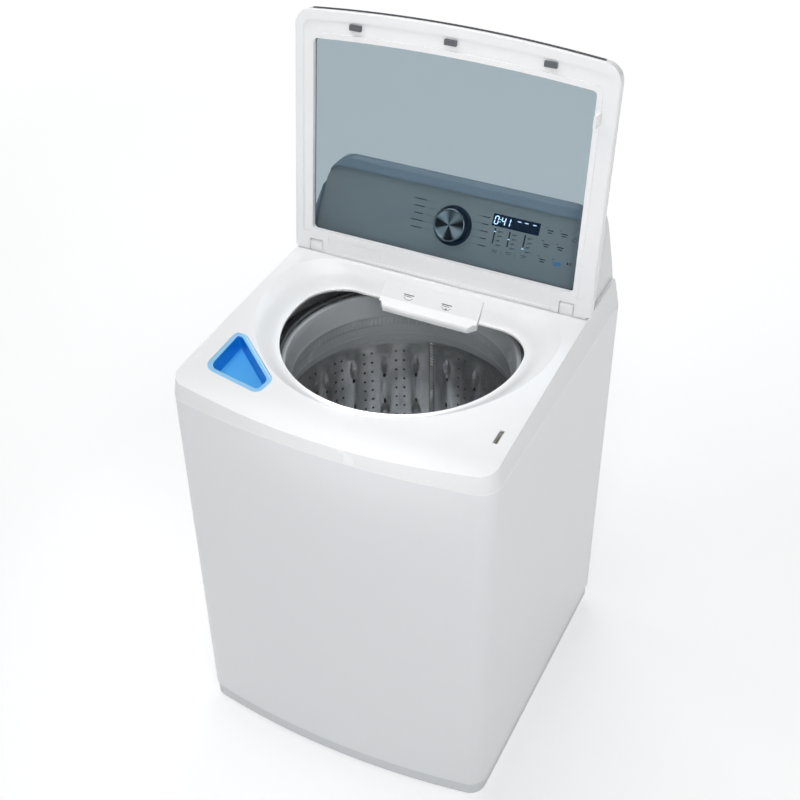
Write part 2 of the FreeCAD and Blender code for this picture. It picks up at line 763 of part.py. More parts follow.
def drawer():
    left = drawerLeft.value
    right = drawerRight.value
    trayProfile = [(124, 918), (124, 934), (130, 937), (146.8, 956), (146.8, 957), (336, 957), (336, 918)]
    tray = sideShape(trayProfile, -98, 108)
    front = [(107.5, 917.5), (107.5, 926), (110, 930.5), (130, 938.5), (156.5, 970), (158, 969.4)]
    front += [(158, 958), (131, 933), (128, 917.5)]
    face = sideShape(front, left, right)
    face = soften(face, 3,
                  lambda e: e.BoundBox.XLength > 100 and e.BoundBox.YMax < 112 and e.BoundBox.ZMin > 921)
    chamfers = []
    for x, turn in ((left, 1), (right, -1)):
        wedge = polygon([(x, 100), (x + 20 * turn, 100), (x, 126)], 900)
        chamfers.append(Part.Face(wedge).extrude(Vector(0, 0, 34)))
    face = face.cut(Part.makeCompound(chamfers))
    cells = [block((-95, -4), (133, 333), (921, 990)), block((-1, 105), (133, 333), (921, 990))]
    body = tray.fuse(face).cut(Part.makeCompound([c.cut(face) for c in cells]))
    return body.removeSplitter()


node(built("drawer", drawer()), "dispenser_drawer")
siphonBase = box("siphonBase", (-90, -40), (290, 328), (921.1, 924))
siphonPipe = rod("siphonPipe", -65, 309, 924, 8, 22)
node(fuse("siphon", [siphonBase, siphonPipe]), "softener_siphon")


# ---- pretreat cup ----
def pretreatCup():
    flange = liftedPrism(cupOutline(0), -3.2, 0.4)
    wall = liftedPrism(cupOutline(8.8), -32.5, -3)
    inside = liftedPrism(cupOutline(11), -31, 5)
    cup = flange.fuse(wall).cut(inside)
    spout = Part.makeCylinder(7, 6, Vector(-187, -219, -1.6))
    return cupPlane(cup.cut(spout).removeSplitter())


node(built("pretreatCup", pretreatCup()), "pretreat_cup")

# ---- lid lock ----
lockBody = box("lockBody", (299, 331.6), (-262, -182), (897, 947))
lockSlot = box("lockSlot", (306, 316), (-239, -199), (915, 960))
lockWay = box("lockWay", (303, 330.4), (-224.5, -215.5), (932.6, 939.6))
node(cut("lidLock", lockBody, [lockSlot, lockWay]), "lid_lock")
node(box("lockBolt", (316.8, 330), (-223.5, -216.5), (933.2, 938.9)), "lock_bolt")


# ---- lid, drawn flat in its own frame and then stood up ----
def lidOutline(inset, low):
    hw = lidHalf.value
    bowRadius = (hw ** 2 + lidBow.value ** 2) / (2 * lidBow.value)
    return bowedWire(hw - inset, low, lidLength.value - inset, bowRadius - inset, 38 - inset, 0)


def glassOutline(grow):
    hw = 300 + grow
    low = 33 - grow
    side = 451 + grow
    top = 463 + grow
    r = 9 + grow * 0.5
    k = r * 0.293
    points = [Vector(-hw + r, low, 0), Vector(hw - r, low, 0), Vector(hw - k, low + k, 0),
              Vector(hw, low + r, 0), Vector(hw, side - r, 0), Vector(hw - k, side - k, 0),
              Vector(hw - r, side + 0.4, 0), Vector(0, top, 0)]
    mirror = [Vector(-p.x, p.y, 0) for p in points]
    edges = [Part.makeLine(points[0], points[1]), Part.Arc(points[1], points[2], points[3]).toShape(),
             Part.makeLine(points[3], points[4]), Part.Arc(points[4], points[5], points[6]).toShape(),
             Part.Arc(points[6], points[7], mirror[6]).toShape()]
    edges.append(Part.Arc(mirror[6], mirror[5], mirror[4]).toShape())
    edges.append(Part.makeLine(mirror[4], mirror[3]))
    edges.append(Part.Arc(mirror[3], mirror[2], points[0]).toShape())
    return Part.Wire(edges)


def layer(wire, low, high):
    face = Part.Face(wire)
    face.translate(Vector(0, 0, low))
    return face.extrude(Vector(0, 0, high - low))


def lidFrame():
    thick = lidThick.value
    bottom = -19.0
    body = layer(lidOutline(0, bottom), -thick, 0)
    body = soften(body, 6, lambda e: e.BoundBox.ZMax < -thick + 0.1 and e.BoundBox.YMax > 0)
    body = soften(body, 3, lambda e: e.BoundBox.ZMin > -0.1 and e.BoundBox.YMax > 0)
    sunk = layer(lidOutline(20, 26), -3.2, 1).cut(layer(glassOutline(11), -5, 2))
    body = body.cut(sunk)
    lowerBand = layer(polygonWire([(-262, -12), (262, -12), (262, 20), (-262, 20)]), -2, 1)
    body = body.cut(lowerBand)
    step = layer(polygonWire([(-262, -12), (-130, -12), (-130, 12), (-262, 12)]), -2.2, -1)
    body = body.fuse(step)
    body = body.cut(layer(glassOutline(0), -30, 5)).cut(layer(glassOutline(9), -30, -11))
    for side in (-1, 1):
        edge = min(side * 334.5, side * 346)
        body = body.cut(block((edge, edge + 11.5), (-30, -13.4), (-30, 5)))
        low = min(side * 274.4, side * 306.6)
        notch = block((low, low + 32.2), (-30, 9.6), (-30, 5))
        bore = Part.makeCylinder(pinRadius.value + 0.12, 56,
                                 Vector(side * 290.5 - 28, hingeAlong.value, hingeDeep.value),
                                 Vector(1, 0, 0))
        body = body.cut(notch).cut(bore)
    return body.removeSplitter()


def polygonWire(points):
    return polygon(points, 0)


node(built("lidFrame", lidFrame(), lidPlace), "lid_frame")

glass = layer(glassOutline(8.5), -16, -11.1)
node(built("lidGlass", glass, lidPlace), "lid_glass")


def placed(obj):
    """Moves a piece drawn flat onto the standing lid."""
    for axis in ("x", "y", "z"):
        obj.setExpression("Placement.Base." + axis, None)
    obj.Placement = lidPlace.multiply(obj.Placement)
    return obj


bumperSpots = ((-205, 480), (0, 486), (205, 480))
bumpers = [placed(box("bumper%d" % i, (x - 12.5, x + 12.5), (low, low + 10.5), (-3.2, 4)))
           for i, (x, low) in enumerate(bumperSpots)]
node(group("bumpers", bumpers), "lid_bumpers")

strikePlate = box("strikePlate", (308, 314), (390, 415), (0, 30))
strikeEye = box("strikeEye", (300, 320), (396.5, 409.5), (20, 27.5))
strike = cut("strike", strikePlate, [strikeEye])
strike.Placement = lidPlace
node(strike, "lid_strike")

pins = [placed(rod("hingePin%d" % i, x - 27, hingeAlong, hingeDeep, pinRadius, 54, "x"))
        for i, x in enumerate((-290.5, 290.5))]
node(group("hingePins", pins), "lid_hinge_pins")


def lidTrim():
    outer = layer(lidOutline(-1.6, -19), -15, -8).cut(layer(lidOutline(-0.02, -25), -16, -7))
    return outer.common(block((-306, 306), (500, 540), (-30, 5)))


node(built("lidTrim", lidTrim(), lidPlace), "lid_front_trim")

# ---- wash unit that hangs on the rods ----
tubOut = tubRadius + 4
tubPoints = [(42, tubBottom), (tubOut, tubBottom), (tubOut, tubTop), (tubRadius, tubTop)]
tubPoints += [(tubRadius, tubBottom + 6), (42, tubBottom + 6)]
node(turned("outerTub", tubPoints, 0, tubAxis, 0), "outer_tub")

ringPoints = [(tubRadius, tubTop), (tubOut + 3, tubTop), (tubOut + 3, tubTop + 8), (278, 884), (272, 891)]
ringPoints += [(262, 893.5), (258, 899), (251, 903), (247, 901), (247, 897.5), (251, 899), (255.5, 896)]
ringPoints += [(260, 889.5), (270, 887), (275, 880), (tubRadius, tubTop + 5)]
node(turned("tubRing", ringPoints, 0, tubAxis, 0), "tub_ring")

housingPoints = [(38.2, 190), (58, 190), (58, 236), (120, 254), (120, tubBottom), (38.2, tubBottom)]
node(turned("bearingHousing", housingPoints, 0, tubAxis, 0), "bearing_housing")


def bearing(index, low, high):
    return turned("bearing%d" % index, [(spinRadius + 0.4, low), (38.1, low), (38.1, high),
                                        (spinRadius + 0.4, high)],
                  0, tubAxis, 0)


node(group("bearings", [bearing(0, 192, 206), bearing(1, 242, 256)]), "tub_bearings")


def stator():
    ring = Part.makeCylinder(92, 26, Vector(0, 0, 192)).cut(Part.makeCylinder(58.2, 40, Vector(0, 0, 185)))
    parts = []
    for i in range(24):
        tooth = block((90, 126), (-5, 5), (194, 216))
        head = block((121, 127), (-12, 12), (192, 218))
        piece = tooth.fuse(head)
        piece.rotate(Vector(0, 0, 0), Vector(0, 0, 1), i * 15)
        parts.append(piece)
    return ring.multiFuse(parts)


node(built("stator", stator(), Placement(Vector(0, tubAxis.value, 0), Rotation())), "motor_stator")

angles = [math.atan2(y.value - tubAxis.value, x.value) for x, y in rodsAt]


def suspensionArm(index):
    x = rodsAt[index][0].value
    y = rodsAt[index][1].value - tubAxis.value
    reach = math.hypot(x, y)
    bar = block((tubOut.value - 3, reach + 28), (-24, 24), (296, 304))
    bar = bar.fuse(block((tubOut.value + 0.3, tubOut.value + 6), (-34, 34), (280, 380)))
    bar = bar.cut(Part.makeCylinder(tubOut.value + 0.2, 400, Vector(0, 0, 200)))
    bar = bar.cut(Part.makeCylinder(rodRadius.value + 4, 60, Vector(reach, 0, 270)))
    bar.rotate(Vector(0, 0, 0), Vector(0, 0, 1), math.degrees(angles[index]))
    bar.translate(Vector(0, tubAxis.value, 0))
    return bar


node(built("arms", Part.makeCompound([suspensionArm(i) for i in range(4)])), "suspension_arms")


def damper(index, x, y):
    points = [(rodRadius + 4, 292), (rodRadius + 4, 296), (24, 296), (26, 240), (24.4, 240), (22.4, 292)]
    return turned("damper%d" % index, points, x, y, 0)


node(group("dampers", [damper(i, x, y) for i, (x, y) in enumerate(rodsAt)]), "damper_cups")


def pumpBody():
    outer = Part.makeCylinder(44, 36, Vector(0, 0, 225)).fuse(Part.makeCylinder(34, 60, Vector(0, 0, 165)))
    outer = outer.fuse(Part.makeCylinder(15, 90, Vector(28, 0, 243), Vector(0, 1, 0)))
    inner = Part.makeCylinder(40, 28, Vector(0, 0, 229))
    inner = inner.fuse(Part.makeCylinder(11.5, 95, Vector(28, 0, 243), Vector(0, 1, 0)))
    inner = inner.fuse(Part.makeCylinder(16, 30, Vector(0, 0, 240)))
    return outer.cut(inner)


pumpPlace = Placement(Vector(172, -118, 0), Rotation())
node(built("pumpBody", pumpBody(), pumpPlace), "drain_pump")


def pumpWheel():
    hub = Part.makeCylinder(9, 18, Vector(0, 0, 231))
    disc = Part.makeCylinder(34, 3, Vector(0, 0, 231))
    blades = []
    for i in range(6):
        blade = block((6, 33), (-1.5, 1.5), (233, 248))
        blade.rotate(Vector(0, 0, 0), Vector(0, 0, 1), i * 60)
        blades.append(blade)
    return hub.multiFuse([disc] + blades)


node(built("pumpWheel", pumpWheel(), pumpPlace), "pump_impeller")

actuatorBox = box("actuatorBox", (-120, -72), (tubAxis - 22, tubAxis + 22), (220, 239))
actuatorFoot = box("actuatorFoot", (-118, -102), (tubAxis - 10, tubAxis + 10), (239, 248.5))
node(fuse("actuator", [actuatorBox, actuatorFoot]), "shift_actuator")

shifterPoints = [(spinRadius + 0.5, 168), (34, 168), (34, 182), (36.5, 182), (36.5, 185)]
shifterPoints.append((spinRadius + 0.5, 185))
node(turned("shifter", shifterPoints, 0, tubAxis, 0), "mode_shifter")


# ---- basket ----
def basket():
    inner = basketRadius.value
    low = basketBottom.value
    wall = Part.makeCylinder(inner + 1.5, basketTop.value - low, Vector(0, 0, low))
    wall = wall.cut(Part.makeCylinder(inner, 700, Vector(0, 0, low - 5)))
    holes = []
    seamColumn = 21
    for column in range(22):
        if column == seamColumn:
            continue
        for side in (-2, 2):
            for row in range(9):
                hole = Part.makeCylinder(2.6, 12, Vector(inner - 5, 0, 717 - 26.5 * row), Vector(1, 0, 0))
                hole.rotate(Vector(0, 0, 0), Vector(0, 0, 1), 90 + 27.2 + column * 360 / 22 + side)
                holes.append(hole)
    return wall.cut(Part.makeCompound(holes))


tubPlace = Placement(Vector(0, tubAxis.value, 0), Rotation())
node(built("basket", basket(), tubPlace), "basket")

balancePoints = [(basketRadius - 0.2, 757), (basketRadius - 0.2, 880), (256, 886), (251, 892), (243, 893)]
balancePoints += [(240, 891), (233, 842), (234, 832), (239, 824), (241.5, 786), (243.5, 783)]
balancePoints += [(247.5, 760), (249, 757)]
node(turned("balanceRing", balancePoints, 0, tubAxis, 0), "balance_ring")

basePoints = [(spinRadius + 0.1, basketBottom - 2), (60, basketBottom - 2), (72, basketBottom + 6)]
basePoints += [(250, basketBottom + 6), (basketRadius - 0.1, basketBottom + 14)]
basePoints += [(basketRadius - 0.1, basketBottom + 18), (248, basketBottom + 11), (70, basketBottom + 11)]
basePoints += [(58, basketBottom + 20), (spinRadius + 0.1, basketBottom + 20)]
node(turned("basketBase", basePoints, 0, tubAxis, 0), "basket_base")

spinPoints = [(shaftRadius + 0.5, 164), (spinRadius, 164), (spinRadius, basketBottom + 22),
              (shaftRadius + 0.5, basketBottom + 22)]
node(turned("spinShaft", spinPoints, 0, tubAxis, 0), "spin_shaft")


# ---- wash plate and its drive ----
def washPlate():
    low = basketBottom.value + 24
    bore = shaftRadius.value + 0.05
    rim = plateRadius.value
    points = [(bore, low + 6), (60, low + 4), (rim - 6, low), (rim, low + 3), (rim - 4, low + 9)]
    points += [(150, low + 12), (80, low + 20), (44, low + 38), (24, low + 44), (bore, low + 44)]
    face = Part.Face(Part.makePolygon([Vector(r, 0, z) for r, z in points + [points[0]]]))
    plateBody = face.revolve(Vector(0, 0, 0), Vector(0, 0, 1), 360)
    fins = []
    for i in range(6):
        fin = sideShape([(30, low + 8), (186, low + 6), (178, low + 26), (90, low + 46), (30, low + 40)],
                        -7, 7)
        fin = soften(fin, 4, lambda e: e.BoundBox.ZMin > low + 12 and e.BoundBox.XLength < 1)
        fin.rotate(Vector(0, 0, 0), Vector(0, 0, 1), i * 60)
        fins.append(fin)
    return plateBody.multiFuse(fins).removeSplitter()


node(built("washPlate", washPlate(), tubPlace), "wash_plate")

drivePoints = [(0, 136), (shaftRadius, 136), (shaftRadius, basketBottom + 62), (0, basketBottom + 62)]
node(turned("driveShaft", drivePoints, 0, tubAxis, 0), "drive_shaft")

capLow = basketBottom + 68.2
capPoints = [(0, capLow), (26, capLow), (24, basketBottom + 76), (0, basketBottom + 80)]
node(turned("plateCap", capPoints, 0, tubAxis, 0), "wash_plate_cap")

rotorPoints = [(shaftRadius + 0.05, 140), (132, 140), (140, 148), (140, 224), (133, 224), (133, 150)]
rotorPoints += [(128, 145), (30, 145), (30, 160), (shaftRadius + 0.05, 160)]
node(turned("rotor", rotorPoints, 0, tubAxis, 0), "motor_rotor")

# ---- check and write ----
doc.recompute()
bad = 0
for obj in doc.Objects:
    if "Invalid" in obj.State or "Error" in obj.State:
        print("problem in", obj.Name, obj.State)
        bad += 1
for name, obj in nodes:
    shape = obj.Shape
    if shape.isNull() or not shape.isValid() or shape.Volume <= 0:
        print("bad shape", name, shape.isNull())
        bad += 1
    else:
        b = shape.optimalBoundingBox()
        print("%-20s solids %2d  x %.1f %.1f  y %.1f %.1f  z %.1f %.1f" %
              (name, len(shape.Solids), b.XMin, b.XMax, b.YMin, b.YMax, b.ZMin, b.ZMax))
if bad:
    raise SystemExit("%d problems, nothing written" % bad)
for name, obj in nodes:
    obj.Shape.exportStep("parts/" + name + ".step")
print("written", len(nodes))
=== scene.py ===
import math

import bmesh
import bpy
from mathutils import Matrix, Vector


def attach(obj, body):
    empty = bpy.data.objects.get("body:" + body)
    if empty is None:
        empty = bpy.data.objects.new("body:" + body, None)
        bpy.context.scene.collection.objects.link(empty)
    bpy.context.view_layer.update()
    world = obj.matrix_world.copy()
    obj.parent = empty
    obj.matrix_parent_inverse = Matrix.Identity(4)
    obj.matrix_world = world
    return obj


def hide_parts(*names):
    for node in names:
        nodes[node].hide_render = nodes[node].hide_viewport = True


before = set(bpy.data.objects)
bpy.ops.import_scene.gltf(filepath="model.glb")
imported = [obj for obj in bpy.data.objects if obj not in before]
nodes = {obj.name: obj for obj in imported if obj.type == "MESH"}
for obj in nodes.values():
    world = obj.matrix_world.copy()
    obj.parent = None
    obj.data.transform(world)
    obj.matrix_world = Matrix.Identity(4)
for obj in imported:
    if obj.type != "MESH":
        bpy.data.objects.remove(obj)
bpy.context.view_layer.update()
mm = 0.001


def hexToLinear(code, alpha=1.0):
    parts = [int(code[i:i + 2], 16) / 255 for i in (1, 3, 5)]
    return [p / 12.92 if p <= 0.04045 else ((p + 0.055) / 1.055) ** 2.4 for p in parts] + [alpha]


def addNode(tree, kind, settings=None, links=None):
    node = tree.nodes.new(kind)
    for name, value in (settings or {}).items():
        if isinstance(name, int) or name in node.inputs:
            node.inputs[name].default_value = value
        else:
            setattr(node, name, value)
    for name, source in (links or {}).items():
        tree.links.new(source, node.inputs[name])
    return node


def perSize(millimetres):
    return 1000.0 / millimetres  # how many such grains fit in a metre


# one surface: two close colours clouded together, a fine grain in the relief and a roughness that wanders
def buildFinish(name, spec):
    material = bpy.data.materials.new(name)
    material.use_nodes = True
    tree = material.node_tree
    tree.nodes.clear()
    output = addNode(tree, "ShaderNodeOutputMaterial")
    shader = addNode(tree, "ShaderNodeBsdfPrincipled", {"Metallic": spec.get("metallic", 0.0),
                                                        "Roughness": spec["roughness"][0]})
    for socket, value in spec.get("sockets", {}).items():
        shader.inputs[socket].default_value = value
    tree.links.new(shader.outputs["BSDF"], output.inputs["Surface"])
    place = addNode(tree, "ShaderNodeTexCoord")
    stretch = addNode(tree, "ShaderNodeMapping", {"Scale": spec.get("stretch", (1, 1, 1)),
                                                  "Rotation": spec.get("turn", (0, 0, 0))},
                      {"Vector": place.outputs["Object"]})
    where = stretch.outputs["Vector"]
    cloud = addNode(tree, "ShaderNodeTexNoise", {"Scale": perSize(spec.get("cloudSize", 60)), "Detail": 3.0},
                    {"Vector": where})
    grain = addNode(tree, spec.get("grainKind", "ShaderNodeTexNoise"), {"Scale": perSize(spec["grainSize"])},
                    {"Vector": where})
    grainOut = grain.outputs["Distance"] if "Distance" in grain.outputs else grain.outputs[0]
    tint = addNode(tree, "ShaderNodeMix", {"data_type": "RGBA", 6: hexToLinear(spec["colours"][0]),
                                           7: hexToLinear(spec["colours"][1])}, {0: cloud.outputs["Fac"]})
    colour = tint.outputs[2]
    if "fleck" in spec:
        fleck = spec["fleck"]
        dots = addNode(tree, "ShaderNodeMapRange", {"From Min": fleck["from"], "From Max": fleck["to"]},
                       {"Value": grainOut})
        flecks = addNode(tree, "ShaderNodeMix", {"data_type": "RGBA", 7: hexToLinear(fleck["colour"])},
                         {0: dots.outputs[0], 6: colour})
        colour = flecks.outputs[2]
    # painted shade: the band darkens the colour where the surface lies in front of a plane
    if "band" in spec:  # a second shade where the surface lies in front of a plane
        band = spec["band"]
        ahead = addNode(tree, "ShaderNodeVectorMath", {"operation": "SUBTRACT", 1: band["origin"]},
                        {0: place.outputs["Object"]})
        depth = addNode(tree, "ShaderNodeVectorMath", {"operation": "DOT_PRODUCT", 1: band["normal"]},
                        {0: ahead.outputs["Vector"]})
        inFront = addNode(tree, "ShaderNodeMapRange", {"From Min": band["from"], "From Max": band["to"]},
                          {"Value": depth.outputs["Value"]})
        shaded = addNode(tree, "ShaderNodeMix", {"data_type": "RGBA", 7: hexToLinear(band["colour"])},
                         {0: inFront.outputs[0], 6: colour})
        colour = shaded.outputs[2]
    # painted reflection: fixed light and dark sectors in the colour stand in for the wedges a spun face makes
    # of the lamps
    if "paintedReflectionWedges" in spec:  # light and dark sectors round the middle of a turned face
        sweep = addNode(tree, "ShaderNodeTexGradient", {"gradient_type": "RADIAL"},
                        {"Vector": place.outputs["Object"]})
        paintedReflectionWedges = spec["paintedReflectionWedges"]
        waves = []
        for count, phase, share in paintedReflectionWedges["waves"]:
            turns = addNode(tree, "ShaderNodeMath",
                            {"operation": "MULTIPLY_ADD", 1: 2 * math.pi * count, 2: phase},
                            {0: sweep.outputs["Fac"]})
            wave = addNode(tree, "ShaderNodeMath", {"operation": "SINE"}, {0: turns.outputs[0]})
            waves.append(addNode(tree, "ShaderNodeMath", {"operation": "MULTIPLY", 1: share},
                                 {0: wave.outputs[0]}).outputs[0])
        both = addNode(tree, "ShaderNodeMath", {"operation": "ADD"}, {0: waves[0], 1: waves[1]})
        sector = addNode(tree, "ShaderNodeMapRange", {"From Min": -0.55, "From Max": 0.55},
                         {"Value": both.outputs[0]})
        turned = addNode(tree, "ShaderNodeMix", {"data_type": "RGBA", 7: hexToLinear(paintedReflectionWedges["colour"])},
                         {0: sector.outputs[0], 6: colour})
        colour = turned.outputs[2]
    tree.links.new(colour, shader.inputs["Base Color"])
    low, high = spec["roughness"]
    rough = addNode(tree, "ShaderNodeMapRange",
                    {"From Min": 0.3, "From Max": 0.7, "To Min": low, "To Max": high},
                    {"Value": cloud.outputs["Fac"]})
    tree.links.new(rough.outputs[0], shader.inputs["Roughness"])
    if spec.get("spun"):
        spin = addNode(tree, "ShaderNodeTangent", {"direction_type": "RADIAL", "axis": "Z"})
        tree.links.new(spin.outputs["Tangent"], shader.inputs["Tangent"])
    relief = addNode(tree, "ShaderNodeBump", {"Strength": spec.get("relief", 0.3),
                                              "Distance": spec.get("depth", 0.05) * mm}, {"Height": grainOut})
    tree.links.new(relief.outputs["Normal"], shader.inputs["Normal"])
    return material


